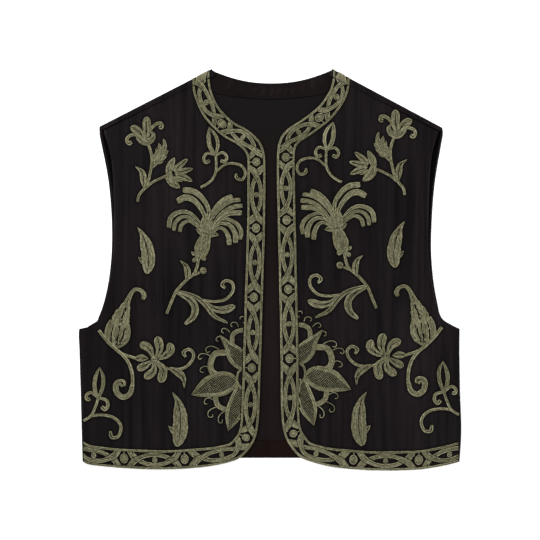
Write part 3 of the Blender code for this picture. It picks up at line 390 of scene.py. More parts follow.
# Thin curled threads round the half flower, from its outline outwards.
TENDRILS = (
    ((-2, 71), (0, 75), (-1, 79), (-5, 79), (-6, 76)),
    ((-8, 66), (-10, 71), (-15, 72), (-18, 69), (-16, 66)),
    ((-19, 59), (-23, 63), (-28, 64), (-30, 60), (-27, 58)),
    ((-26, 49), (-30, 53), (-35, 53), (-37, 49), (-34, 47)),
    ((-33, 37), (-39, 40), (-45, 41), (-50, 38), (-49, 33), (-45, 34)),
    ((-44, 28), (-50, 31), (-57, 31), (-60, 27), (-58, 24), (-55, 26)),
    ((-47, 14), (-52, 15), (-57, 12), (-57, 8), (-53, 7)),
    ((-40, -29), (-46, -26), (-51, -28), (-52, -33), (-48, -34)),
    ((-37, -38), (-42, -40), (-47, -44), (-47, -50), (-42, -51), (-41, -47)),
    ((-27, -44), (-31, -47), (-34, -52), (-33, -58), (-29, -58), (-29, -54)),
)

Motif = namedtuple("Motif", "name blades right left")
MOTIFS = (
    Motif("upper_sprig", UPPER_SPRIG, (-171, 88), (174, 97)),
    Motif("trefoil", TREFOIL, (-92, 104), (95, 111)),
    Motif("carnation", CARNATION, (-81, 57), (85, 64)),
    Motif("upper_paisley", UPPER_PAISLEY, (-158, 24), (161, 32)),
    Motif("leaf_spray", LEAF_SPRAY, (-199, -103), (200, -99)),
    Motif("side_trefoil", SIDE_TREFOIL, (-244, -196), (247, -188)),
    Motif("lower_paisley", LOWER_PAISLEY, (-117, -199), (116, -198)),
    Motif("half_flower", HALF_FLOWER, (-33, -140), (36, -133)),
)

# Places along a blade, and its half width there as a share of the widest
PROFILES = {
    "stem": ((0, 1), (1, 1)),
    "arc": ((0, 0.5), (0.12, 0.8), (0.3, 1), (0.65, 1), (0.85, 0.66), (1, 0.1)),
    "hook": ((0, 0.8), (0.5, 1), (0.85, 1.05), (0.93, 1.3), (1, 0.8)),
    "leaf": ((0, 0), (0.1, 0.4), (0.25, 0.78), (0.45, 1), (0.62, 0.92), (0.8, 0.56), (1, 0)),
    "petal": ((0, 0.34), (0.25, 0.62), (0.5, 0.9), (0.72, 1), (0.86, 0.92), (0.95, 0.64), (1, 0.22)),
    "spire": ((0, 0.55), (0.12, 0.92), (0.17, 1), (0.2, 0.86), (0.27, 0.84), (0.3, 0.66), (0.4, 0.52),
              (0.44, 0.36), (0.6, 0.23), (0.8, 0.19), (0.93, 0.27), (1, 0.16)),
    "seed": ((0, 0.25), (0.12, 0.62), (0.3, 0.96), (0.48, 1), (0.66, 0.74), (0.8, 0.4), (0.92, 0.26),
             (1, 0.1)),
    "core": ((0, 0.25), (0.12, 0.62), (0.3, 0.96), (0.48, 1), (0.66, 0.72), (0.8, 0.42), (0.92, 0.28),
             (1, 0.1)),
    "tongue": ((0, 0.8), (0.3, 1), (0.6, 0.92), (0.85, 0.62), (0.96, 0.36), (1, 0.16)),
    "cup": ((0, 0.22), (0.14, 0.58), (0.34, 0.92), (0.5, 1), (0.66, 0.92), (0.86, 0.62), (1, 0.26)),
    "claw": ((0, 0.3), (0.2, 0.66), (0.45, 0.94), (0.65, 1), (0.85, 0.74), (0.95, 0.56), (1, 0.4)),
    "plume": ((0, 0.14), (0.2, 0.36), (0.45, 0.72), (0.8, 1), (0.96, 1), (1, 0.72)),
    "paisley": ((0, 0.05), (0.08, 0.2), (0.2, 0.42), (0.33, 0.76), (0.45, 0.92), (0.53, 0.9), (0.64, 1),
                (0.8, 0.92), (0.93, 0.66), (1, 0.3)),
    "bulb": ((0, 0.6), (0.12, 0.68), (0.3, 0.86), (0.55, 1), (0.75, 0.86), (0.92, 0.58), (1, 0.42)),
    "lobe": ((0, 0.1), (0.12, 0.42), (0.3, 0.84), (0.5, 1), (0.7, 0.94), (0.88, 0.62), (1, 0.2)),
    "ring": ((0, 0.35), (0.15, 0.75), (0.5, 1), (0.85, 0.75), (1, 0.35)),
}


def unit(vectors):
    return vectors / np.linalg.norm(vectors, axis=-1, keepdims=True)


def turned(run):
    """The directions at right angles to those given, to their left."""
    return np.stack([-run[..., 1], run[..., 0]], axis=-1)


def mixed(a, b, share):
    share = np.asarray(share)[..., None]
    return a * (1 - share) + b * share


def read(rows, column, y):
    """A column of a table, read at any height between its rows."""
    rows = sorted(rows, key=lambda row: row.y)
    return np.interp(y, [row.y for row in rows], [getattr(row, column) for row in rows])


def smooth_through(points, steps):
    """Points on a smooth curve through the given ones, with this many steps between neighbours."""
    line = np.array(points, float)
    line = np.vstack([2 * line[0] - line[1], line, 2 * line[-1] - line[-2]])
    t = (np.arange(steps) / steps)[:, None]
    made = []
    for a, b, c, d in zip(line, line[1:], line[2:], line[3:]):
        square, cube = 2 * a - 5 * b + 4 * c - d, 3 * b - 3 * c + d - a
        made.append(0.5 * (2 * b + (c - a) * t + square * t**2 + cube * t**3))
    return np.vstack([*made, line[-2]])


class Path:
    """A smooth line that is read by the distance along it; past either end it runs straight on."""

    BEYOND = 60.0

    def __init__(self, points, steps=12):
        made = smooth_through(points, steps)
        gaps = np.hypot(*np.diff(made, axis=0).T)
        self.at = np.concatenate([[0.0], np.cumsum(gaps)])
        self.length = float(self.at[-1])
        head = made[0] + (made[0] - made[1]) / gaps[0] * self.BEYOND
        tail = made[-1] + (made[-1] - made[-2]) / gaps[-1] * self.BEYOND
        self.distances = np.concatenate([[-self.BEYOND], self.at, [self.length + self.BEYOND]])
        self.points = np.vstack([head, made, tail])

    def point(self, s):
        return np.stack([np.interp(s, self.distances, self.points[:, k]) for k in (0, 1)], axis=-1)

    def share(self, t):
        return self.point(np.asarray(t, float) * self.length)

    def normal(self, s, reach):
        return turned(unit(self.point(s + reach) - self.point(s - reach)))


def sign_of(side):
    return -1 if side == "right" else 1


def side_line(y, side):
    """x of the side seam, run on straight above the underarm."""
    return read(SIDES[SIDE_SEAM], side, y)


def shoulder_line(side):
    """Neck end, armhole end and outward direction of the folded shoulder."""
    neck, tip = (NECK_RIGHT, TIP_RIGHT) if side == "right" else (NECK_LEFT, TIP_LEFT)
    neck, tip = np.array(neck), np.array(tip)
    out = turned(unit(tip - neck))
    return neck, tip, out if out[1] > 0 else -out


def shoulder_seam(side):
    neck, tip, out = shoulder_line(side)
    return neck - out * SEAM_AT_NECK + unit(tip - neck) * SEAM_START[side], tip - out * SEAM_AT_TIP


def roll_turn(x, y, side):
    """Cosine and sine of the roll at the side seam: 1, 0 on it, and 0, 1 where the cloth lies flat."""
    from_seam = np.abs(side_line(y, side) - x)
    cosine = np.clip(1 - from_seam / ROLL, 0.0, 1.0)
    return cosine, np.sqrt(1 - cosine**2)


def ridge(x, y, start, end, width, height):
    """A soft ridge from start to end, fading at both ends and wandering a little."""
    run_x, run_y = end[0] - start[0], end[1] - start[1]
    length = math.hypot(run_x, run_y)
    t = ((x - start[0]) * run_x + (y - start[1]) * run_y) / length**2
    off = ((x - start[0]) * run_y - (y - start[1]) * run_x) / length
    off = off + 0.12 * width * np.sin(7 * t + start[0])
    fade = np.clip(1.25 - np.abs(2 * t - 1), 0, 0.6) / 0.6
    return height * np.exp(-((off / width) ** 2)) * fade * fade * (3 - 2 * fade)


def front_height(x, y, side):
    """Height of a front's outer face, with its creases, over the surface that the vest lies on."""
    from_middle = np.abs(x)
    height = np.full_like(from_middle, FRONT_TOP)
    for swell in SWELLS:
        across = (from_middle - swell.x) / swell.across
        along = (y - swell.y) / swell.along
        height = height + swell.height * np.exp(-across * across - along * along)
    height = height + FOLD_HEIGHT * np.sin(2 * math.pi * from_middle / FOLD_WAVE + y / 140)
    for crease in CREASES[side]:
        height = height + ridge(x, y, *crease)
    for rise, spacing, wander, bend in RIPPLES:
        height = height + rise * np.sin(x / spacing + wander * np.sin(y / bend))
    neck, _, out = shoulder_line(side)
    from_fold = -((x - neck[0]) * out[0] + (y - neck[1]) * out[1])
    near = np.exp(-np.maximum(0.0, from_fold - SEAM_AT_TIP) / SHOULDER_REACH)
    height = height + (SHOULDER_TOP - height) * near
    return SEAM_HIGH + (height - SEAM_HIGH) * roll_turn(x, y, side)[1]


def side_points(side, of_front):
    """The side seam and armhole, hem to shoulder, of the back or, a little inside it, of the front."""
    sign = sign_of(side)
    points = []
    for row in SIDES:
        inset = getattr(row, "inset_" + side) if of_front else 0
        points.append((getattr(row, side) - sign * inset, row.y))
    if of_front:
        end = shoulder_seam(side)[1] - np.array([sign * TIP_INSET, 0])
    else:
        end = shoulder_line(side)[1] - shoulder_line(side)[2] * FOLD
    return points + [tuple(end)]


def edge_points(side):
    return [tuple(shoulder_seam(side)[0])] + [(getattr(row, side), row.y) for row in EDGES[1:]]


def hem_points(side):
    sign = sign_of(side)
    low = SIDES[0]
    return [(sign * row.x, getattr(row, side)) for row in HEMS] + [(getattr(low, side), low.y)]


def whole_edge(side):
    """From the shoulder seam down the neck and front edges, round the corner and out along the hem."""
    return Path(edge_points(side) + hem_points(side))


def patch(bottom, top, left, right, across, along):
    """A grid of points between four boundary lines, each given at the shares across or along."""
    u, v = np.array(across)[None, :, None], np.array(along)[:, None, None]
    sides = left[:, None] * (1 - u) + right[:, None] * u
    ends = bottom[None] * (1 - v) + top[None] * v
    low = bottom[0] * (1 - u) + bottom[-1] * u
    high = top[0] * (1 - u) + top[-1] * u
    return sides + ends - (low * (1 - v) + high * v)


def steps_between(close, length, step, far=()):
    """Shares from 0 to 1 of a length: close ones at the start, even ones, and close ones at the end."""
    start, stop = close[-1], length - (far[-1] if far else 0.0)
    count = max(2, round((stop - start) / step))
    middle = [start + (stop - start) * k / count for k in range(1, count)]
    return [s / length for s in (*close, *middle, stop, *(length - f for f in reversed(far[:-1])))]


def rim_drop(near, radius):
    """How far a face drops beside a rim, so that the edge is round; near is the distance from it."""
    t = np.clip(1 - near / (1.6 * radius), 0, 1)
    return radius * (1 - np.sqrt(1 - t * t))


def rounded(outer, inner, near, thickness):
    """Both faces drawn together towards a rim."""
    drop = rim_drop(near, thickness * 0.46)
    outer, inner = outer.copy(), inner.copy()
    outer[..., 2] -= drop
    inner[..., 2] += drop
    return outer, inner


def new_object(name, mesh_data, finish):
    mesh_data.materials.append(finish)
    made = bpy.data.objects.new(name, mesh_data)
    bpy.context.scene.collection.objects.link(made)
    mesh_data.polygons.foreach_set("use_smooth", np.ones(len(mesh_data.polygons), bool))
    return made


def walled(name, grids, finish):
    """A closed wall of cloth from pairs of grids, outer and inner; grids join where they share points."""
    points, index, faces, sides = [], {}, [], set()
    for outer, inner in grids:
        keys = np.empty(outer.shape[:2], int)
        for r in range(outer.shape[0]):
            for c in range(outer.shape[1]):
                key = tuple(np.round(outer[r, c], 3))
                if key not in index:
                    index[key] = len(points)
                    points.append(outer[r, c])
                    points.append(inner[r, c])
                keys[r, c] = index[key]
        a, b, c, d = keys[:-1, :-1], keys[:-1, 1:], keys[1:, 1:], keys[1:, :-1]
        loops = np.stack([a, b, c, d], axis=-1).reshape(-1, 4)
        faces += [tuple(int(v) for v in loop) for loop in loops]
        faces += [tuple(int(v) + 1 for v in loop[::-1]) for loop in loops]
        for loop in loops:
            for k in range(4):
                sides.add((int(loop[k]), int(loop[(k + 1) % 4])))
    faces += [(b, a, a + 1, b + 1) for a, b in sorted(sides) if (b, a) not in sides]
    mesh_data = bpy.data.meshes.new(name)
    mesh_data.from_pydata([tuple(p * MM) for p in points], [], faces)
    return new_object(name, mesh_data, finish)


def front_panel(side, finish):
    """One front: side seam and armhole on its outer edge, front and neck edge on its inner edge."""
    outer_line = Path(side_points(side, of_front=True))
    edge = whole_edge(side)
    corner = Path(edge_points(side)).length
    seam_neck, seam_tip = np.array(edge_points(side)[0]), np.array(side_points(side, of_front=True)[-1])
    width = abs(outer_line.share(0)[0])
    across = steps_between((*RIM, ROLL), width, 2.1, RIM)
    along = steps_between(RIM, outer_line.length, 2.3, RIM)
    u, v = np.array(across), np.array(along)
    grid = patch(
        edge.point(edge.length + (corner - edge.length) * u),
        mixed(seam_tip, seam_neck, u),
        outer_line.share(v),
        edge.point(corner * (1 - v)),
        across,
        along,
    )
    x, y = grid[..., 0], grid[..., 1]
    cosine, sine = roll_turn(x, y, side)
    outer = np.stack([x, y, front_height(x, y, side)], axis=-1)
    inner = outer - np.stack([sign_of(side) * cosine, 0 * cosine, sine], axis=-1) * FRONT
    v_length = np.linalg.norm(np.diff(grid, axis=0), axis=-1).sum(axis=0)
    from_ends = np.minimum(v, SEAM_RIM * (1 - v))[:, None] * v_length[None, :]
    near = np.minimum((1 - u)[None, :] * width, from_ends)
    armhole = np.where(y > ARMHOLE_RIM_FROM, u[None, :] * width, NOT_NEAR)
    outer, inner = rounded(outer, inner, np.minimum(near, armhole), FRONT)
    return walled("front_cloth_" + side, [(outer, inner)], finish)


LIT = 1.25  # painted highlight: the share for an edge that catches the light
LIT_RIMS = 3.4, 2.6  # width of the lit rim inside the right and left armholes
LIT_EDGE = 1.3  # and of the fronts' painted highlight on the edge outside them
COVERED = 24  # how far in from the back's edge the fronts cover the inside
BESIDE = 7.0  # how far from a front's edge its shade falls on the lining
STITCH_SHADE = 3.6  # and how far from the stitches theirs falls on the cloth


def stored(cloth, shares):
    """Store painted shade and highlight at each point, as how much of its tone the cloth keeps: 0 black, 1
    all, LIT lighter still.
    """
    colours = np.ones((len(shares), 4), np.float32)
    colours[:, 0] = np.asarray(shares) / LIT
    # the clear attribute carries this painted shade and painted highlight
    clear = cloth.data.color_attributes.new("clear", "FLOAT_COLOR", "POINT")
    clear.data.foreach_set("color", colours.ravel())


def places_of(cloth):
    places = np.empty(len(cloth.data.vertices) * 3, np.float32)
    cloth.data.vertices.foreach_get("co", places)
    return (places.reshape(-1, 3) / MM).T


def shade_inside(cloth):
    """Paint shade into the inside of the armholes, and onto the lining beside the fronts' edges."""
    x, y, z = places_of(cloth)
    inward = np.minimum(x - read(SIDES, "right", y), read(SIDES, "left", y) - x)
    by_armhole = (y > ARMHOLE_PAINTED_LIGHT_FROM) & (z > 0.4 * SHELL) & (z < 3.3)
    # painted shade on the inside of the armhole, past its lit rim and where the fronts cover it
    dark = by_armhole & (inward > np.where(x < 0, *LIT_RIMS)) & (inward < COVERED)
    past = np.minimum(x - read(EDGES, "right", y), read(EDGES, "left", y) - x)
    # painted shadow of a front's edge on the lining beside it
    beside = np.where(inward < COVERED, 1.0, np.clip(0.5 + past / BESIDE, 0.5, 1.0))
    stored(cloth, np.minimum(np.where(dark, 0.0, 1.0), beside))


def shade_wrinkles(cloth):
    """Paint shade into the hollows between the wrinkles, so that their ridges keep more of their tone."""
    z = places_of(cloth)[2]
    stored(cloth, np.clip(0.62 + 0.42 * (z - INSIDE - FACING), 0.55, 1.0))


def shade_round(cloth, side, pieces):
    """Paint shade on a front near the stitches, stored from how far each point is from them, 0 to 1, and
    paint a highlight on its armhole edge.
    """
    places = [v.co for piece in pieces for v in list(piece.data.vertices)[::2]]
    tree = KDTree(len(places))
    for n, place in enumerate(places):
        tree.insert(place, n)
    tree.balance()
    reach = STITCH_SHADE * MM
    shares = np.array([min(1.0, tree.find(v.co)[2] / reach) for v in cloth.data.vertices])
    x, y, z = places_of(cloth)
    sign = sign_of(side)
    edge = read(SIDES, side, y) - sign * read(SIDES, "inset_" + side, y)
    # a painted highlight along the front's armhole edge
    lit = (y > ARMHOLE_PAINTED_LIGHT_FROM) & (sign * (edge - x) < LIT_EDGE) & (z > FRONT_TOP - 1.2)
    stored(cloth, np.where(lit, LIT, shares))


def back_neck(x):
    """y of the back neck edge."""
    half = NECK_LEFT[0] - NECK_MIDDLE_X
    return NECK_LOW + (NECK_LEFT[1] - NECK_LOW) * (np.abs(x - NECK_MIDDLE_X) / half) ** NECK_POWER


def back_panel(finish):
    """The back, flat on the surface, rolled up at the side seams and folded over at the shoulders."""
    right_side, left_side = Path(side_points("right", False)), Path(side_points("left", False))
    right_neck, right_tip, right_out = shoulder_line("right")
    left_neck, left_tip, left_out = shoulder_line("left")
    right_start, right_end = right_tip - right_out * FOLD, right_neck - right_out * FOLD
    left_start, left_end = left_neck - left_out * FOLD, left_tip - left_out * FOLD
    share = SHOULDER_SHARE
    width = left_side.share(0)[0] - right_side.share(0)[0]
    close = (0.0, 0.4, 0.9, 1.6, 2.4, ROLL, 3.7, 4.6)
    step = (share * width - close[-1]) / COLUMNS
    across = [c / width for c in close] + [(close[-1] + step * k) / width for k in range(1, COLUMNS + 1)]
    count = len(across)
    across += [share + (1 - 2 * share) * k / COLUMNS for k in range(1, COLUMNS)]
    across += [1 - t for t in reversed(across[:count])]
    along = steps_between(RIM, right_side.length, 4.5, RIM)
    u, v = np.array(across), np.array(along)

    x = right_end[0] + (left_start[0] - right_end[0]) * (u - share) / (1 - 2 * share)
    # The neck edge dips into the fold at its two ends.
    lowered = 0.6 * FOLD * (np.abs(x - NECK_MIDDLE_X) / (NECK_LEFT[0] - NECK_MIDDLE_X)) ** 8
    neck = np.stack([x, back_neck(x) - lowered], axis=-1)
    first = mixed(right_start, right_end, u / share)
    last = mixed(left_end, left_start, (1 - u) / share)
    top = np.where((u >= 1 - share - 1e-9)[:, None], last, neck)
    top = np.where((u <= share + 1e-9)[:, None], first, top)
    a, b = right_side.share(0), left_side.share(0)
    hem = mixed(a, b, u)
    hem[:, 1] += (BACK_HEM - hem[:, 1]) * (1 - (2 * u - 1) ** 4)
    grid = patch(hem, top, right_side.share(v), left_side.share(v), across, along)

    def faces_of(x, y, side):
        cosine, sine = roll_turn(x, y, side)
        outer = np.stack([x, y, SEAM_LOW * (1 - sine)], axis=-1)
        return outer, outer + np.stack([-sign_of(side) * cosine, 0 * x, sine], axis=-1) * SHELL

    x, y = grid[..., 0], grid[..., 1]
    right_outer, right_inner = faces_of(x, y, "right")
    left_outer, left_inner = faces_of(x, y, "left")
    on_right = (x < 0)[..., None]
    outer = np.where(on_right, right_outer, left_outer)
    inner = np.where(on_right, right_inner, left_inner)
    neck_edge = (u > share + 1e-6) & (u < 1 - share - 1e-6)
    v_length = right_side.length
    near = np.where(neck_edge[None, :], (1 - v)[:, None] * v_length, NOT_NEAR)
    near = np.minimum(near, v[:, None] * v_length)
    from_side = np.minimum(u, 1 - u)[None, :] * width
    below_fold = (y > ARMHOLE_RIM_FROM) & (v < 0.985)[:, None]
    near = np.minimum(near, np.where(below_fold, from_side, NOT_NEAR))
    # The faces are named for the pair's order: the outer one lies on the surface, so it goes up at a rim.
    inner_up, outer_up = rounded(inner, outer, near, SHELL)
    grids = [(outer_up, inner_up)]
    turns = [math.radians(d) for d in range(-90, 91, 15)]
    for start, neck_end, tip, out in (
        (0, right_neck, right_tip, right_out),
        (len(across) - count, left_neck, left_tip, left_out),
    ):
        base = grid[-1, start : start + count]
        reach = np.linalg.norm(base - (neck_end - out * FOLD), axis=-1) / np.linalg.norm(tip - neck_end)
        forward = SEAM_AT_NECK + (SEAM_AT_TIP - SEAM_AT_NECK) * reach - FOLD + SEAM_LAP
        rows_outer = [outer_up[-1, start : start + count]]
        rows_inner = [inner_up[-1, start : start + count]]
        centre = np.column_stack([base, np.full(count, FOLD)])
        from_tip = np.linalg.norm(base - (tip - out * FOLD), axis=-1)
        rounding = np.sqrt(np.clip(1 - np.clip(1 - from_tip / TIP_ROUND, 0, 1) ** 2, 0.09, 1))
        armhole = [(row.right if out[0] < 0 else row.left, row.y) for row in SIDES[-3:]]
        armhole.append(tuple(tip - out * FOLD))
        for turn in turns[1:]:
            flat = math.cos(turn) * rounding
            direction = np.column_stack([out[0] * flat, out[1] * flat, np.full(count, math.sin(turn))])
            rows_outer.append(centre + direction * FOLD)
            rows_inner.append(centre + direction * (FOLD - SHELL))
        # From the fold to the seam, as shares of the way, and how far the edge drops there.
        for part, drop in ((0.5, 0.0), (0.85, 0.0), (0.97, 0.02), (1.0, 0.12)):
            over = centre - np.column_stack([np.outer(forward * part, out), np.zeros(count)])
            level_with = np.interp(over[:, 1], [y for _, y in armhole], [x for x, _ in armhole])
            over[:, 0] += (level_with - over[:, 0]) * np.clip(1 - from_tip / TIP_REACH, 0, 1) ** 2
            rows_outer.append(over + np.array([0, 0, FOLD - drop]))
            rows_inner.append(over + np.array([0, 0, FOLD - SHELL + drop * 0.4]))
        grids.append((np.stack(rows_outer), np.stack(rows_inner)))
    return walled("back_cloth", grids, finish)


def facing_line(x):
    """y of the seam between the neck facing and the lining."""
    return NECK_LOW - NECK_FACING_DEPTH + 12.0 * (np.abs(x - NECK_MIDDLE_X) / 90) ** 2


def level_wall(name, grid, thickness, rise, near, finish):
    """A sheet that lies on the back, its top raised by a wrinkle's height and its rim rounded."""
    low = np.concatenate([grid, np.full((*grid.shape[:2], 1), INSIDE)], axis=-1)
    high = low.copy()
    high[..., 2] += thickness + rise
    low[..., 2] += np.maximum(rise, 0) * 0.8
    high[..., 2] -= rim_drop(near, 0.45 * thickness)
    return walled(name, [(high, low)], finish)


def neck_facing(finish):
    """The facing inside the back neck, wrinkled where it is eased round the curve."""
    reach, flare = 77.0, 14
    across = steps_between(INNER_RIM, 2 * reach, 1.6, INNER_RIM)
    along = steps_between(INNER_RIM, NECK_FACING_DEPTH, 1.5, INNER_RIM)
    u, v = np.array(across), np.array(along)
    x_top = NECK_MIDDLE_X + reach * (2 * u - 1)
    x_low = NECK_MIDDLE_X + (reach + flare) * (2 * u - 1)
    top = np.stack([x_top, back_neck(x_top) - 1.0], axis=-1)
    bottom = np.stack([x_low, facing_line(x_low) + 0.25 * np.sin(x_low / 6.5)], axis=-1)
    grid = patch(bottom, top, mixed(bottom[0], top[0], v), mixed(bottom[-1], top[-1], v), across, along)
    x, y = grid[..., 0], grid[..., 1]
    rise = np.zeros_like(x)
    for wx, wy, slant, length, width, height in WRINKLES:
        half = length / 2
        ends = (wx - slant * half, wy - half), (wx + slant * half, wy + half)
        rise += ridge(x, y, *ends, width, 2.4 * height)
    near = np.minimum(v, 1 - v)[:, None] * NECK_FACING_DEPTH + 0 * x
    return level_wall("neck_facing_cloth", grid, FACING, rise, near, finish)


def lining_side(side):
    """The lining's edge, inside the back's side seam and armhole."""
    sign = sign_of(side)
    points = [(getattr(row, side) - sign * LINING_INSET, row.y) for row in SIDES[1:5]]
    points += [(getattr(row, side) - sign * 4.0, row.y) for row in SIDES[7:15]]
    points[0] = (points[0][0], BACK_HEM + HEM_FACING_DEPTH + GAP)
    return Path(points)


def back_lining(finish):
    """The lining of the back, which lies a little slack between the fronts."""
    right_line, left_line = lining_side("right"), lining_side("left")
    across = [k / 110 for k in range(111)]
    along = steps_between(INNER_RIM, right_line.length, 4.2, INNER_RIM)
    u, v = np.array(across), np.array(along)
    right_end, left_end = right_line.share(1), left_line.share(1)
    x = right_end[0] + (left_end[0] - right_end[0]) * u
    off = np.abs(x - NECK_MIDDLE_X)
    kept = 84.0  # the top follows the neck facing this far from the middle, then runs out to the armhole
    y = facing_line(np.minimum(off, kept) + NECK_MIDDLE_X) - FACING_SEAM
    end_y = np.where(x < 0, right_end[1], left_end[1])
    span = np.where(x < 0, abs(right_end[0] - NECK_MIDDLE_X), abs(left_end[0] - NECK_MIDDLE_X)) - kept
    y = np.where(off > kept, y + (end_y - y) * (off - kept) / span, y)
    bottom = mixed(right_line.share(0), left_line.share(0), u)
    grid = patch(bottom, np.stack([x, y], axis=-1), right_line.share(v), left_line.share(v), across, along)
    x, y = grid[..., 0], grid[..., 1]
    rise = 0.16 * np.sin(x / 17 + 0.8 * np.sin(y / 60)) + 0.1 * np.sin(x / 7.3 + y / 90) + 0.26
    rise += ridge(x, y, (-3, 150), (4, -60), 3.2, 0.3) + ridge(x, y, (7, 40), (2, -200), 3.0, 0.28)
    near = np.minimum(v, 1 - v)[:, None] * right_line.length + 0 * x
    return level_wall("lining_cloth", grid, LINING, rise, near, finish)


def hem_turn_up(finish):
    """The back's hem, turned up inside, with its ease fold in the gap between the fronts."""
    low, high = BACK_HEM + 1.2, BACK_HEM + HEM_FACING_DEPTH
    across = [k / 160 for k in range(161)]
    along = steps_between(INNER_RIM, high - low, 1.6, INNER_RIM)
    u, v = np.array(across), np.array(along)
    reach_right, reach_left = SIDES[0].right + LINING_INSET, SIDES[0].left - LINING_INSET
    x = np.broadcast_to(reach_right + (reach_left - reach_right) * u, (len(v), len(u)))
    y = np.broadcast_to((low + (high - low) * v)[:, None], (len(v), len(u)))
    y = y + (v[:, None] > 0.5) * 0.12 * np.sin(x / 5)
    rise = 0.12 + 0.1 * np.sin(x / 14) + ridge(x, y, (-16, -222), (2, -224), 2.0, 0.55)
    rise = rise + ridge(x, y, (-8, -238), (-5, -224), 2.4, 0.3)
    near = np.minimum(v, 1 - v)[:, None] * (high - low) + 0 * x
    return level_wall("hem_facing_cloth", np.stack([x, y], axis=-1), FACING, rise, near, finish)


class Stitching:
    """Rows of chain stitch on the cloth. surface gives points of the cloth and its outward directions."""

    # Shares of the row's width and height at the five points of a cross-section, ring by ring
    ACROSS = (-0.5, -0.27, 0.0, 0.27, 0.5)
    WIDE = (0.84, 1.04, 1.0)
    SHOULDERS = (0.80, 1.0, 0.98)
    MIDDLE = (1.0, 0.62, 0.7)

    def __init__(self, surface):
        self.surface = surface
        self.points, self.faces, self.tones = [], [], []
        self.count = 0

    def row(self, line, width, height=HEIGHT, lift=0.0, thread=False):
        """One row along a line of points of the plan; width and lift may change along it."""
        line = np.asarray(line, float)
        gaps = np.hypot(*np.diff(line, axis=0).T)
        at = np.concatenate([[0.0], np.cumsum(gaps)])
        if len(line) < 2 or at[-1] < 0.8:
            return
        spacing = THREAD_STEP if thread else STITCH / RINGS
        count = max(3, int(round(at[-1] / spacing)) + 1)
        s = np.linspace(0, at[-1], count)
        centre = np.stack([np.interp(s, at, line[:, k]) for k in (0, 1)], axis=-1)
        width = np.interp(s, at, np.broadcast_to(width, len(line)))
        lift = np.interp(s, at, np.broadcast_to(lift, len(line)))
        run = np.gradient(centre, axis=0)
        run /= np.maximum(np.linalg.norm(run, axis=-1, keepdims=True), 1e-9)
        normal = turned(run)
        wobble = np.array([random.uniform(-WOBBLE, WOBBLE) for _ in s])
        centre = centre + normal * wobble[:, None]
        start = random.randrange(RINGS)
        phase = (np.arange(count) + start) % RINGS
        tone = random.random()
        stitch_tones = [random.random() for _ in range(count // RINGS + 2)]
        if thread:
            wide, shoulder, middle = np.ones(count), np.full(count, 0.75), np.ones(count)
        else:
            wide = np.array(self.WIDE)[phase]
            shoulder = np.array(self.SHOULDERS)[phase]
            middle = np.array(self.MIDDLE)[phase]
        ends = np.minimum(np.arange(count), np.arange(count)[::-1])
        taper = np.where(ends == 0, 0.74, 1.0)
        half = (width * wide * taper / 2)[:, None] * normal
        left, left_out = self.surface(centre - half)
        right, right_out = self.surface(centre + half)
        out = unit(left_out + right_out)
        rows_high = np.stack([np.zeros(count), shoulder, middle, shoulder, np.zeros(count)], axis=1)
        high = rows_high * (height * taper)[:, None]
        high[:, 1:4] += lift[:, None]
        high[:, 0] = -SINK
        high[:, 4] = -SINK
        first = self.count
        for j in range(count):
            stitch_tone = stitch_tones[(j + start) // RINGS]
            for k, share in enumerate(self.ACROSS):
                p = left[j] + (right[j] - left[j]) * (share + 0.5) + out[j] * high[j, k]
                self.points.append(p)
                # rise is painted shade: 0 where a row's sides meet the cloth, lower in the hollow middle of
                # a stitch's loop
                rise = (0.0, 1.0, 0.55 + 0.45 * middle[j], 1.0, 0.0)[k]
                self.tones.append((rise, tone, stitch_tone, 1.0))
        for j in range(count - 1):
            a = first + 5 * j
            for k in range(4):
                self.faces.append((a + k, a + k + 1, a + k + 6, a + k + 5))
        last = first + 5 * (count - 1)
        self.faces.append((first + 4, first + 3, first + 2, first + 1, first))
        self.faces.append((last, last + 1, last + 2, last + 3, last + 4))
        self.count += 5 * count

    def knot(self, centre, radius, height):
        """A small raised knot."""
        rings = ((1.0, -SINK), (0.85, 0.6 * height), (0.45, height))
        first = self.count
        tone = random.random()
        for share, high in rings:
            for k in range(8):
                turn = 2 * math.pi * k / 8
                off = radius * share * np.array([math.cos(turn), math.sin(turn)])
                point, out = self.surface((centre + off)[None])
                self.points.append(point[0] + out[0] * high)
                # the knot's sunken ring gets painted shade, rise 0
                self.tones.append((0.0 if high < 0 else 1.0, tone, tone, 1.0))
        for ring in range(2):
            for k in range(8):
                a, b = first + 8 * ring + k, first + 8 * ring + (k + 1) % 8
                self.faces.append((a, b, b + 8, a + 8))
        self.faces.append(tuple(first + 16 + k for k in range(8)))
        self.count += 24

    def made(self, name, finish):
        mesh_data = bpy.data.meshes.new(name)
        mesh_data.from_pydata([tuple(p * MM) for p in self.points], [], self.faces)
        # tone holds the painted shade share, and each row's and stitch's own tone
        tones = mesh_data.color_attributes.new("tone", "FLOAT_COLOR", "POINT")
        tones.data.foreach_set("color", np.array(self.tones, np.float32).ravel())
        return new_object(name, mesh_data, finish)


def runs(mask):
    """Starts and stops of the stretches where the mask is true, apart from the shortest."""
    found, start = [], None
    for k, held in enumerate(mask):
        if held and start is None:
            start = k
        if not held and start is not None:
            found.append((start, k))
            start = None
    if start is not None:
        found.append((start, len(mask)))
    return [(a, b) for a, b in found if b - a >= 3]


def half_widths(blade, t):
    shares = PROFILES[blade.profile]
    return blade.width / 2 * np.interp(t, [s for s, _ in shares], [w for _, w in shares])


def ring_rows(middle, radius):
    turns = np.linspace(0, 2 * math.pi, 22)
    circle = np.stack([np.cos(turns), np.sin(turns)], axis=-1)
    return [
        (middle + circle * (radius - ROW / 2), np.full(22, ROW)),
        (middle + circle[::2] * (radius - 1.4 * ROW), np.full(11, ROW * 0.9)),
        (middle + circle[::2] * 0.5, np.full(11, 1.2)),
    ]


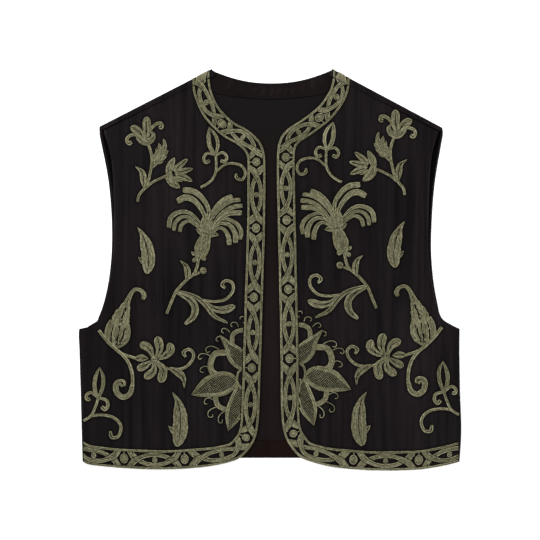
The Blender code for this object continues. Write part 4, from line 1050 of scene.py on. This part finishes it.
def blade_rows(blade):
    """Rows of stitches that fill a blade. One follows its outline, and inner ones end where it narrows."""
    line = Path(blade.spine, steps=8)
    if blade.profile == "ring":
        return ring_rows(line.share(0.5), blade.width / 2)
    t = np.linspace(0, 1, max(8, int(line.length / 0.7)))
    s = t * line.length
    centre, normal = line.point(s), line.normal(s, 0.02 * line.length)
    half = half_widths(blade, t)
    widest = blade.width / 2
    veined = blade.profile in VEINED and widest > 3
    beside = 0.0 * t
    if veined:
        beside = MIDDLE_GAP * np.interp(t, (0, 0.12, 0.25, 0.78, 0.9, 1), (0, 0, 1, 1, 0, 0))
    count = max(1, round((widest - beside.max()) / ROW + 0.1))
    pitch = (widest - beside.max() - PAIR_GAP * ((count - 1) // 2)) / count
    made = []
    for k in range(count):
        taken = k * pitch + PAIR_GAP * (k // 2)
        room = half - beside - taken
        if k == 0:
            offset = np.where(room >= pitch, half - pitch / 2, beside + np.maximum(room, 0.0) / 2)
            width = np.where(room >= pitch, pitch, np.maximum(room, 0.4))
        else:
            offset = beside + np.where(room >= pitch, room - pitch / 2, room / 2)
            width = np.minimum(pitch, room)
        lines = [centre + normal * (sign * offset)[:, None] for sign in (1, -1)]
        if k == 0 and blade.profile in ROUND_TIPPED:
            # The outline row turns round the tip.
            tip = centre[-1] + unit(centre[-1] - centre[-2]) * 0.3
            whole = np.concatenate([width, width[-1:], width[::-1]])
            made.append((np.vstack([lines[0], tip, lines[1][::-1]]), whole))
            continue
        held = np.ones(len(t), bool) if k == 0 else room > 0.25 * pitch
        for one in lines:
            for a, b in runs(held):
                made.append((one[a:b], width[a:b]))
    return made


def covered(points, blades):
    """True for the points that lie under one of the blades."""
    mask = np.zeros(len(points), bool)
    for blade in blades:
        line = Path(blade.spine, steps=8)
        t = np.linspace(0, 1, max(8, int(line.length / 0.8)))
        centre, half = line.share(t), half_widths(blade, t)
        lap = min(UNDERLAP, 0.4 * blade.width)
        off = np.linalg.norm(points[:, None] - centre[None], axis=-1) - (half - lap)[None]
        under = off[np.arange(len(points)), off.argmin(axis=1)] < 0
        if blade.profile != "ring":
            under &= (points - centre[0]) @ unit(centre[0] - centre[1]) < 0.1
            under &= (points - centre[-1]) @ unit(centre[-1] - centre[-2]) < 0.1
        mask |= under
    return mask


def within(points, loop):
    """True for the points inside a closed loop."""
    x, y = points[:, 0], points[:, 1]
    odd = np.zeros(len(points), bool)
    for a, b in zip(loop, np.roll(loop, -1, axis=0)):
        if a[1] != b[1]:
            crosses = (a[1] > y) != (b[1] > y)
            odd ^= crosses & (x < a[0] + (y - a[1]) * (b[0] - a[0]) / (b[1] - a[1]))
    return odd


def border_side_x(y, side):
    """x of the border's inner edge, along the straight of the front."""
    return read(EDGES, side, y) + sign_of(side) * 2 * BORDER_HALF


def net(stitching, loop, keep):
    """Fine crossing threads inside a loop."""
    low, high = loop.min(axis=0), loop.max(axis=0)
    middle, reach = (low + high) / 2, np.linalg.norm(high - low) / 2
    steps = np.arange(-reach, reach, 0.5)
    for turn, raised in NET_TURNS:
        turn = math.radians(turn)
        along = np.array([math.cos(turn), math.sin(turn)])
        for off in np.arange(-reach, reach, NET_SPACING):
            line = middle + turned(along) * off + along * steps[:, None]
            for a, b in runs(within(line, loop) & keep(line)):
                stitching.row(line[a:b], 0.46, height=0.3, lift=raised, thread=True)


def on_front(side):
    def surface(points):
        z = front_height(points[:, 0], points[:, 1], side)
        return np.column_stack([points, z]), np.tile([0.0, 0.0, 1.0], (len(points), 1))

    return surface


def motif_piece(motif, side, finish):
    """A stitched motif: each blade's rows stop where a later blade covers them, and at the border."""
    place = np.array(getattr(motif, side), float)
    mirror = np.array([1 if side == "right" else -1, 1])
    sign = sign_of(side)
    in_border = motif.name == "half_flower"

    def spine(points):
        return tuple(map(tuple, place + mirror * np.array(points, float)))

    def along(points, count):
        return Path(points, steps=8).share(np.linspace(0, 1, count))

    placed = [Blade(profile, width, spine(points)) for profile, width, points in motif.blades]
    veins = [along(spine(vein), 40) for vein in LEAF_VEINS] if motif.name == "leaf_spray" else []
    stitching = Stitching(on_front(side))

    def clear(points):
        if not in_border:
            return np.ones(len(points), bool)
        limit = border_side_x(points[:, 1], side) + sign * 0.8
        return (points[:, 0] - limit) * sign > 0

    def bare(points):
        mask = np.zeros(len(points), bool)
        for vein in veins:
            mask |= np.linalg.norm(points[:, None] - vein[None], axis=-1).min(axis=1) < VEIN_HALF
        return mask

    for n, blade in enumerate(placed):
        for line, width in blade_rows(blade):
            kept = clear(line) & ~covered(line, placed[n + 1 :]) & ~bare(line)
            for a, b in runs(kept):
                stitching.row(line[a:b], width[a:b] * 1.02)
    if in_border:
        for first, second in NETS:
            loop = np.vstack([along(placed[first].spine, 20), along(placed[second].spine, 20)[::-1]])
            net(stitching, loop, lambda p: clear(p) & ~covered(p, placed))
        for tendril in TENDRILS:
            line = along(spine(tendril), 30)
            for a, b in runs(clear(line) & ~covered(line, placed)):
                stitching.row(line[a:b], 1.25, height=0.6)
    return stitching.made(f"{motif.name}_stitch_{side}", finish)


# Upper and lower edge of a strand, as (s, d), at one end of a 90 mm repeat, and d at the repeat's middle.
STRAND_UPPER = ((12.0, 11.0), (14.9, 7.4), (19.6, 3.9), (25.6, 0.4), (31.0, -1.8), (37.5, -3.0))
STRAND_LOWER = (
    (2.9, 11.0), (4.8, 7.4), (7.4, 4.0), (10.8, 0.2), (15.0, -2.0), (20.0, -3.6), (26.0, -5.6), (34.0, -7.7)
)
STRAND_MIDDLES = -3.4, -8.4


def strand_edges(first, second, flip, early):
    """Both edges of one strand of a repeat of the border, as smooth lines of (s, d).

    early is how much sooner the strand starts at the first end of the repeat.
    """
    span = second - first
    edges = []
    for half, middle in zip((STRAND_UPPER, STRAND_LOWER), STRAND_MIDDLES):
        half = [(s * (span / 90), d) for s, d in half]
        points = half + [(span / 2, middle)] + [(span - s, d) for s, d in reversed(half)]
        points = [(first + s - early * max(0.0, 1 - s / (span / 2)), d * flip) for s, d in points]
        edges.append(smooth_through(points, 10))
    return edges


def border_piece(side, finish):
    """The interlaced band: two rails, two strands that cross over and under, roundels and small discs."""
    edge = whole_edge(side)
    corner = Path(edge_points(side)).length
    start, stop = 0.35, edge.length - 1.4
    seam_neck, seam_tip = shoulder_seam(side)
    seam_run = unit(seam_tip - seam_neck)

    def placed(points):
        """Points of the plan for (s, d). d turns along the seam at one end and upright at the other."""
        s, d = points[:, 0], points[:, 1]
        past = np.clip((s - corner - PAST_CORNER) / 60, 0, 1)
        half = BORDER_HALF + (BORDER_HALF_AT_HEM - BORDER_HALF) * past
        upright = np.clip((s - edge.length + 110) / 60, 0, 1)
        by_seam = np.clip(1 - s / 25, 0, 1)
        normal = edge.normal(s, 8.0) * sign_of(side)
        across = unit(mixed(mixed(normal, np.array([0.0, 1.0]), upright), seam_run, by_seam))
        across = across / np.clip((across * normal).sum(axis=-1, keepdims=True), 0.8, 1.0)
        return edge.point(s) + across * (half + d * half / BORDER_HALF)[:, None]

    stitching = Stitching(on_front(side))

    def row(line, width, held=None, lift=0.0, height=HEIGHT):
        line = np.asarray(line, float)
        lift = np.broadcast_to(lift, len(line))
        width = np.broadcast_to(width, len(line))
        mask = (line[:, 0] > start) & (line[:, 0] < stop)
        if held is not None:
            mask &= held
        for a, b in runs(mask):
            stitching.row(placed(line[a:b]), width[a:b], height=height, lift=lift[a:b])

    def strand(edges, others, flip, repeat):
        """One strand's rows. It lies on top at one crossing of the repeat, and under at the other."""
        first, second, drawn = repeat
        upper, lower = edges
        grown = np.array([0, 0.45 * -flip])
        loop = np.vstack([others[0] + grown, (others[1] - grown)[::-1]])
        from_lower = turned(unit(np.gradient(lower, axis=0))) * flip
        from_upper = turned(unit(np.gradient(upper, axis=0))) * -flip
        room = np.vstack([lower, (upper + from_upper * STRAND_ROW * 1.1)[::-1]])
        lines = [(upper + from_upper * STRAND_ROW / 2, None)]
        lines += [(lower + from_lower * STRAND_ROW * (k + 0.5), room) for k in range(8)]
        for line, inside in lines:
            s = line[:, 0]
            under = (s < (first + second) / 2) == (flip < 0)
            held = (np.abs(line[:, 1]) < RAIL_INSIDE) & ~(within(line, loop) & under)
            if inside is not None:
                held &= within(line, inside)
            span = second - first
            rise = STRAND_RISE * np.exp(-(((s - (first + CROSSING * span)) / 8) ** 2))
            rise += STRAND_RISE * np.exp(-(((s - (second - CROSSING * span)) / 8) ** 2))
            row(drawn(line), STRAND_ROW, held, np.where(under, 0.0, rise))

    along = np.arange(start, stop, 1.0)
    for d in RAILS:
        wander = 0.12 * np.sin(along / 11 + d)
        row(np.column_stack([along, d + wander]), RAIL_ROW)
    places = ROUNDELS[side]
    for n, (first, second) in enumerate(zip(places, places[1:])):
        early = SEAM_EARLY if side == "right" and n == 0 else 0.0
        lean = NECK_LEAN if n == NECK_REPEAT else 0.0

        def drawn(line):
            share = np.clip((line[:, 0] - first) / (second - first), 0, 1)
            nearer = lean * (second - first) * (share * (1 - share)) ** 2
            return np.column_stack([line[:, 0] - nearer, line[:, 1]])

        edges = {flip: strand_edges(first, second, flip, early) for flip in (1, -1)}
        for flip in (1, -1):
            strand(edges[flip], edges[-flip], flip, (first, second, drawn))
        middle = (first + second) / 2
        if start + 2.5 < middle < stop - 2.5:
            turns = np.linspace(0, 2 * math.pi, 16)
            at = drawn(np.array([[middle, 0.0]]))[0, 0]
            for radius in DISC_ROWS:
                row(np.column_stack([at + radius * np.cos(turns), radius * np.sin(turns)]), 1.6)
    turns = np.linspace(0.4, 0.4 + 2 * math.pi, 26)
    for at in places:
        if start < at < stop:
            longer = 0.94 if at > corner + PAST_CORNER else 1.07
            for less in ROUNDEL_ROWS:
                ring = np.column_stack([longer * np.cos(turns), np.sin(turns) / longer]) * (ROUNDEL - less)
                row(ring + np.array([at, 0.0]), 1.66)
            # A short row holds it to the inner rail.
            row([(at, ROUNDEL - 0.6), (at, 7.2), (at, 8.4)], 1.3, height=0.8)
            if start + 7 < at < stop - 7:
                stitching.knot(placed(np.array([[float(at), 0.0]]))[0], 0.9, HEIGHT)
    return stitching.made("border_stitch_" + side, finish)


def border_over_shoulder(side, finish):
    """The short stretch of border that runs on from the seam, over the shoulder fold, to the back."""
    neck, tip, out = shoulder_line(side)
    along = unit(tip - neck)
    flat_run = SEAM_AT_NECK - FOLD
    down_to = FOLD * math.radians(100)
    normal = whole_edge(side).normal(np.array([0.4]), 8.0)[0]
    slant = np.clip(abs(float(along @ normal)), 0.8, 1.0)

    def wrapped(points):
        """The plan's x is along the shoulder at the seam, and its y goes straight back over the fold."""
        past = np.maximum(0.0, points[:, 1] - flat_run)
        level = np.minimum(points[:, 1], flat_run)
        gone = level + FOLD * np.sin(past / FOLD)
        base = (neck - out * FOLD) + np.outer(points[:, 0] + gone * along[1] / out[1], along)
        angle = math.pi / 2 - past / FOLD
        direction = np.column_stack([np.outer(np.cos(angle), out), np.sin(angle)])
        centre = np.column_stack([base - out * (flat_run - level)[:, None], np.full(len(points), FOLD)])
        return centre + direction * FOLD, direction

    stitching = Stitching(wrapped)
    low, high = 0.3, flat_run + down_to
    inner, outer = SEAM_START[side], SEAM_START[side] + 2 * BORDER_HALF / slant
    y = np.linspace(low, high, 24)
    for x in (inner + 0.95, inner + 2.45, outer - 2.45, outer - 0.95):
        stitching.row(np.column_stack([np.full(len(y), x), y]), RAIL_ROW, height=0.8)
    for k in range(SHOULDER_ROWS):
        ends = []
        for after_inner, before_outer in SHOULDER_SPANS[side]:
            room = outer - inner - after_inner - before_outer
            ends.append(inner + after_inner + room * k / (SHOULDER_ROWS - 1))
        x = ends[0] + (ends[1] - ends[0]) * np.minimum(1.0, y / SEAM_AT_NECK)
        stitching.row(np.column_stack([x, y]), 1.6, height=0.75)
    return stitching.made("border_shoulder_stitch_" + side, finish)


def socket(node, name):
    return next(s for s in node.inputs if s.name == name and s.enabled)


class Recipe:
    """A material and its nodes."""

    def __init__(self, name):
        self.material = bpy.data.materials.new(name)
        self.material.use_nodes = True
        self.tree = self.material.node_tree
        self.shader = self.tree.nodes["Principled BSDF"]
        self.coordinates = self.add("ShaderNodeTexCoord").outputs["Object"]

    def add(self, kind, inputs=None, **settings):
        node = self.tree.nodes.new(kind)
        for key, value in settings.items():
            setattr(node, key, value)
        for key, value in (inputs or {}).items():
            node.inputs[key].default_value = value
        return node

    def link(self, source, target):
        self.tree.links.new(source, target)

    def noise(self, scale, detail=3.0, roughness=0.55):
        """Noise of the object's own place, stretched: scale is in cycles to a metre on each axis."""
        mapping = self.add("ShaderNodeMapping", {"Scale": scale})
        self.link(self.coordinates, mapping.inputs["Vector"])
        texture = self.add("ShaderNodeTexNoise", {"Scale": 1.0, "Detail": detail, "Roughness": roughness})
        self.link(mapping.outputs["Vector"], texture.inputs["Vector"])
        return texture.outputs["Fac"]

    def threads(self, direction, scale):
        """Waves for woven threads; scale is in cycles to a metre."""
        inputs = {"Scale": scale * 2 * math.pi / 20, "Distortion": 1.0, "Detail": 1.0, "Detail Scale": 0.3}
        texture = self.add("ShaderNodeTexWave", inputs, bands_direction=direction)
        self.link(self.coordinates, texture.inputs["Vector"])
        return texture.outputs["Fac"]

    def stored(self, layer):
        """The three numbers that the mesh stores at each point."""
        attribute = self.add("ShaderNodeVertexColor", layer_name=layer)
        parts = self.add("ShaderNodeSeparateColor")
        self.link(attribute.outputs["Color"], parts.inputs["Color"])
        return tuple(parts.outputs)

    def ramp(self, source, stops):
        node = self.add("ShaderNodeValToRGB")
        ramp = node.color_ramp
        while len(ramp.elements) < len(stops):
            ramp.elements.new(0.5)
        for element, (at, colour) in zip(ramp.elements, stops):
            element.position = at
            element.color = (*colour, 1.0)
        self.link(source, node.inputs["Fac"])
        return node.outputs["Color"]

    def varied(self, colour, share, source, *tones):
        """The colour multiplied by tones that run from the noise's low places to its high ones."""
        places = (0.3, 0.7) if len(tones) == 2 else (0.3, 0.52, 0.7)
        return self.mix(share, colour, self.ramp(source, tuple(zip(places, tones))), "MULTIPLY")

    def mix(self, share, a, b, blend="MIX"):
        node = self.add("ShaderNodeMix", data_type="RGBA", blend_type=blend)
        for name, value in (("Factor", share), ("A", a), ("B", b)):
            target = socket(node, name)
            if isinstance(value, (int, float)):
                target.default_value = value
            elif isinstance(value, tuple):
                target.default_value = (*value, 1.0)
            else:
                self.link(value, target)
        return next(s for s in node.outputs if s.enabled)

    def math(self, operation, a, b):
        node = self.add("ShaderNodeMath", operation=operation)
        for k, value in enumerate((a, b)):
            if isinstance(value, (int, float)):
                node.inputs[k].default_value = value
            else:
                self.link(value, node.inputs[k])
        return node.outputs[0]

    def spread(self, source, low, high, start=0.3, stop=0.7):
        inputs = {"From Min": start, "From Max": stop, "To Min": low, "To Max": high}
        node = self.add("ShaderNodeMapRange", inputs)
        self.link(source, node.inputs["Value"])
        return node.outputs[0]

    def bump(self, height, strength, distance):
        node = self.add("ShaderNodeBump", {"Strength": strength, "Distance": distance})
        self.link(height, node.inputs["Height"])
        self.link(node.outputs["Normal"], self.shader.inputs["Normal"])

    def finished(self, colour, roughness, inputs):
        self.link(colour, self.shader.inputs["Base Color"])
        self.link(roughness, self.shader.inputs["Roughness"])
        for key, value in inputs.items():
            self.shader.inputs[key].default_value = value
        return self.material


def grey(tone):
    return tone, tone, tone


# Painted shade and highlight, as how much of its tone the cloth keeps: stored share over LIT, and tone.
PAINTED_LIGHT_STOPS = ((0.016, 0.04), (0.11, 0.30), (0.44, 0.68), (0.8, 1.0), (1.0, 1.9))
FADE = 0.10, 0.20  # heights in metres between which the lining fades to its neutral tone


def cloth_material(name, tones, streak, slub_strength, shaded=False, neutral=None):
    """Slubby hand-woven cloth: uneven vertical threads, a fine weave and slow changes of tone.

    tones are a dark, a light and a clouded one. shaded multiplies in the painted shade and highlight stored
    on the mesh, close to the stitches and elsewhere, and neutral is the tone that it fades to towards the
    neck.
    """
    dark, light, tint = tones
    recipe = Recipe(name)
    slubs = recipe.noise((streak, 5.0, 30.0), detail=4.0, roughness=0.62)
    fine = recipe.noise((1500.0, 160.0, 300.0), detail=2.0)
    cloudy = recipe.noise((14.0, 6.0, 10.0), detail=2.0)
    middle = tuple((a + b) / 2 for a, b in zip(dark, light))
    colour = recipe.ramp(slubs, ((0.36, dark), (0.5, middle), (0.66, light)))
    colour = recipe.mix(recipe.spread(cloudy, 0.0, 0.55), colour, tint)
    colour = recipe.varied(colour, 0.6, fine, grey(0.72), grey(1.25))
    broad = recipe.noise((7.0, 4.0, 7.0), detail=2.0)
    colour = recipe.varied(colour, 1.0, broad, (0.78, 0.78, 0.76), (1.24, 1.24, 1.28))
    if neutral:
        apart = recipe.add("ShaderNodeSeparateXYZ")
        recipe.link(recipe.coordinates, apart.inputs["Vector"])
        colour = recipe.mix(recipe.spread(apart.outputs["Y"], 0.0, 1.0, *FADE), colour, neutral)
    if shaded:
        # painted shade and painted highlight, from the clear attribute
        painted_light = recipe.ramp(recipe.stored("clear")[0], [(at, grey(tone)) for at, tone in PAINTED_LIGHT_STOPS])
        colour = recipe.mix(1.0, colour, painted_light, "MULTIPLY")
    weave = recipe.math("ADD", recipe.threads("X", 1150.0), recipe.threads("Y", 1000.0))
    relief = recipe.math("MULTIPLY", slubs, slub_strength)
    for height, strength in ((weave, 0.18), (fine, 0.4)):
        relief = recipe.math("ADD", relief, recipe.math("MULTIPLY", height, strength))
    recipe.bump(relief, 0.55, 0.0006)
    soft = {"Specular IOR Level": 0.022, "Sheen Weight": 0.01, "Sheen Roughness": 0.6}
    return recipe.finished(colour, recipe.spread(fine, 0.78, 0.96), soft)


def wool_material(name):
    """Crewel wool in chain stitch. Each row and stitch has its own tone, and painted shade darkens a row's
    sides.
    """
    recipe = Recipe(name)
    rise, row, stitch = recipe.stored("tone")
    by_row = ((0.0, (0.130, 0.124, 0.073)), (0.5, (0.163, 0.156, 0.095)), (1.0, (0.200, 0.192, 0.123)))
    by_stitch = ((0.0, (0.66, 0.66, 0.60)), (0.6, (0.98, 0.98, 0.97)), (1.0, (1.4, 1.4, 1.42)))
    # painted shade, from the stored rise: darker at a row's sides and in a stitch's loop
    shade = ((0.0, (0.26, 0.24, 0.20)), (0.5, (0.76, 0.75, 0.71)), (1.0, (1.0, 1.0, 1.0)))
    colour = recipe.mix(1.0, recipe.ramp(row, by_row), recipe.ramp(stitch, by_stitch), "MULTIPLY")
    colour = recipe.mix(1.0, colour, recipe.ramp(rise, shade), "MULTIPLY")
    fluff = recipe.noise((2200.0, 2200.0, 2200.0), detail=2.0)
    worn = recipe.noise((45.0, 45.0, 45.0), detail=2.0)
    tufts = recipe.noise((520.0, 520.0, 520.0), detail=3.0, roughness=0.7)
    colour = recipe.varied(colour, 0.5, fluff, (0.7, 0.7, 0.7), (1.25, 1.25, 1.22))
    colour = recipe.varied(colour, 0.6, worn, (0.86, 0.84, 0.80), (1.1, 1.1, 1.08))
    colour = recipe.varied(colour, 0.8, tufts, (0.66, 0.65, 0.60), (0.98, 0.98, 0.97), (1.38, 1.38, 1.40))
    recipe.bump(fluff, 0.5, 0.0003)
    soft = {"Specular IOR Level": 0.15, "Sheen Weight": 0.05, "Sheen Roughness": 0.5}
    return recipe.finished(colour, recipe.spread(fluff, 0.75, 0.98), soft)


def floor_material():
    recipe = Recipe("pale_floor")
    cloudy = recipe.noise((3.0, 3.0, 3.0), detail=2.0)
    colour = recipe.ramp(cloudy, ((0.3, grey(0.95)), (0.7, grey(0.97))))
    glow = {"Specular IOR Level": 0.1, "Emission Color": (1.0, 1.0, 1.0, 1.0), "Emission Strength": 0.22}
    return recipe.finished(colour, recipe.spread(cloudy, 0.85, 0.95), glow)


def linked(name, data, place):
    made = bpy.data.objects.new(name, data)
    made.location = place
    bpy.context.scene.collection.objects.link(made)
    return made


def floor():
    """A pale floor just under the vest."""
    reach, count = 4.0, 8
    shares = [reach * (2 * k / count - 1) for k in range(count + 1)]
    corners = [(x, y, -0.0006) for y in shares for x in shares]
    wide = count + 1
    starts = [j * wide + i for j in range(count) for i in range(count)]
    data = bpy.data.meshes.new("floor")
    data.from_pydata(corners, [], [(a, a + 1, a + wide + 1, a + wide) for a in starts])
    new_object("floor", data, floor_material())


LENS = 82.0
SENSOR = 36.0
VIEW = 0.700  # width of the view on the surface, in metres
CAMERA_AT = (0.0, -0.0002, 0.005 + VIEW * LENS / SENSOR)


def studio():
    """Pale floor, soft light and the camera straight above."""
    world = bpy.data.worlds.new("studio")
    bpy.context.scene.world = world
    world.use_nodes = True
    background = world.node_tree.nodes["Background"]
    background.inputs["Color"].default_value = (1.0, 1.0, 1.0, 1.0)
    background.inputs["Strength"].default_value = 0.86
    bpy.context.scene.view_settings.view_transform = "Standard"
    for name, place, size, power in (
        ("key", (-1.3, 1.4, 1.7), 1.0, 60.0),
        ("fill", (1.5, -0.9, 1.7), 1.4, 18.0),
    ):
        light = bpy.data.lights.new(name, "AREA")
        light.energy = power
        light.size = size
        linked(name, light, place).rotation_euler = (-Vector(place)).to_track_quat("-Z", "Y").to_euler()
    floor()
    lens = bpy.data.cameras.new("camera")
    lens.sensor_width = SENSOR
    lens.lens = LENS
    bpy.context.scene.camera = linked("camera", lens, CAMERA_AT)


def settled(piece, node):
    """A piece stands for its node, whose part is hidden, and moves with the body."""
    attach(piece, "root")
    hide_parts(node)
    return piece


BLACK_TONES = (0.0028, 0.0024, 0.0026), (0.0086, 0.0070, 0.0076), (0.0080, 0.0054, 0.0057)
# The back is a lighter copy of the fronts' black cloth: painted light on the parts of the back that show.
LIT_BACK_TONES = [tuple(1.35 * share for share in tone) for tone in BLACK_TONES]
FACING_TONES = (0.0062, 0.0047, 0.0048), (0.0092, 0.0066, 0.0066), (0.0092, 0.0056, 0.0052)
HEM_TONES = (0.0052, 0.0026, 0.0021), (0.0070, 0.0036, 0.0030), (0.0062, 0.0030, 0.0024)
LINING_TONES = (0.0060, 0.0037, 0.0037), (0.0081, 0.0051, 0.0051), (0.0072, 0.0042, 0.0040)
LINING_NEUTRAL = (0.0056, 0.0048, 0.0050)

black = cloth_material("slub_cloth", BLACK_TONES, 120.0, 1.3, shaded=True)
lit_back_black = cloth_material("slub_cloth_back_lit", LIT_BACK_TONES, 120.0, 1.3, shaded=True)
inner_cloth = cloth_material("facing_cloth", FACING_TONES, 60.0, 0.5, shaded=True)
hem_cloth = cloth_material("hem_cloth", HEM_TONES, 90.0, 0.4)
lining_cloth = cloth_material("lining_cloth", LINING_TONES, 60.0, 0.3, shaded=True, neutral=LINING_NEUTRAL)
wool = wool_material("crewel_wool")

back = settled(back_panel(lit_back_black), "back")
facing = settled(neck_facing(inner_cloth), "neck_facing")
lining = settled(back_lining(lining_cloth), "lining")
hem = settled(hem_turn_up(hem_cloth), "hem_facing")
shade_inside(back)
shade_inside(lining)
shade_wrinkles(facing)
for side in ("right", "left"):
    front = settled(front_panel(side, black), "front_" + side)
    stitched = [
        settled(motif_piece(motif, side, wool), f"{motif.name}_{side}") for motif in MOTIFS
    ]
    stitched.append(settled(border_piece(side, wool), "border_" + side))
    over = settled(border_over_shoulder(side, wool), "border_shoulder_" + side)
    shade_round(front, side, stitched)

studio()
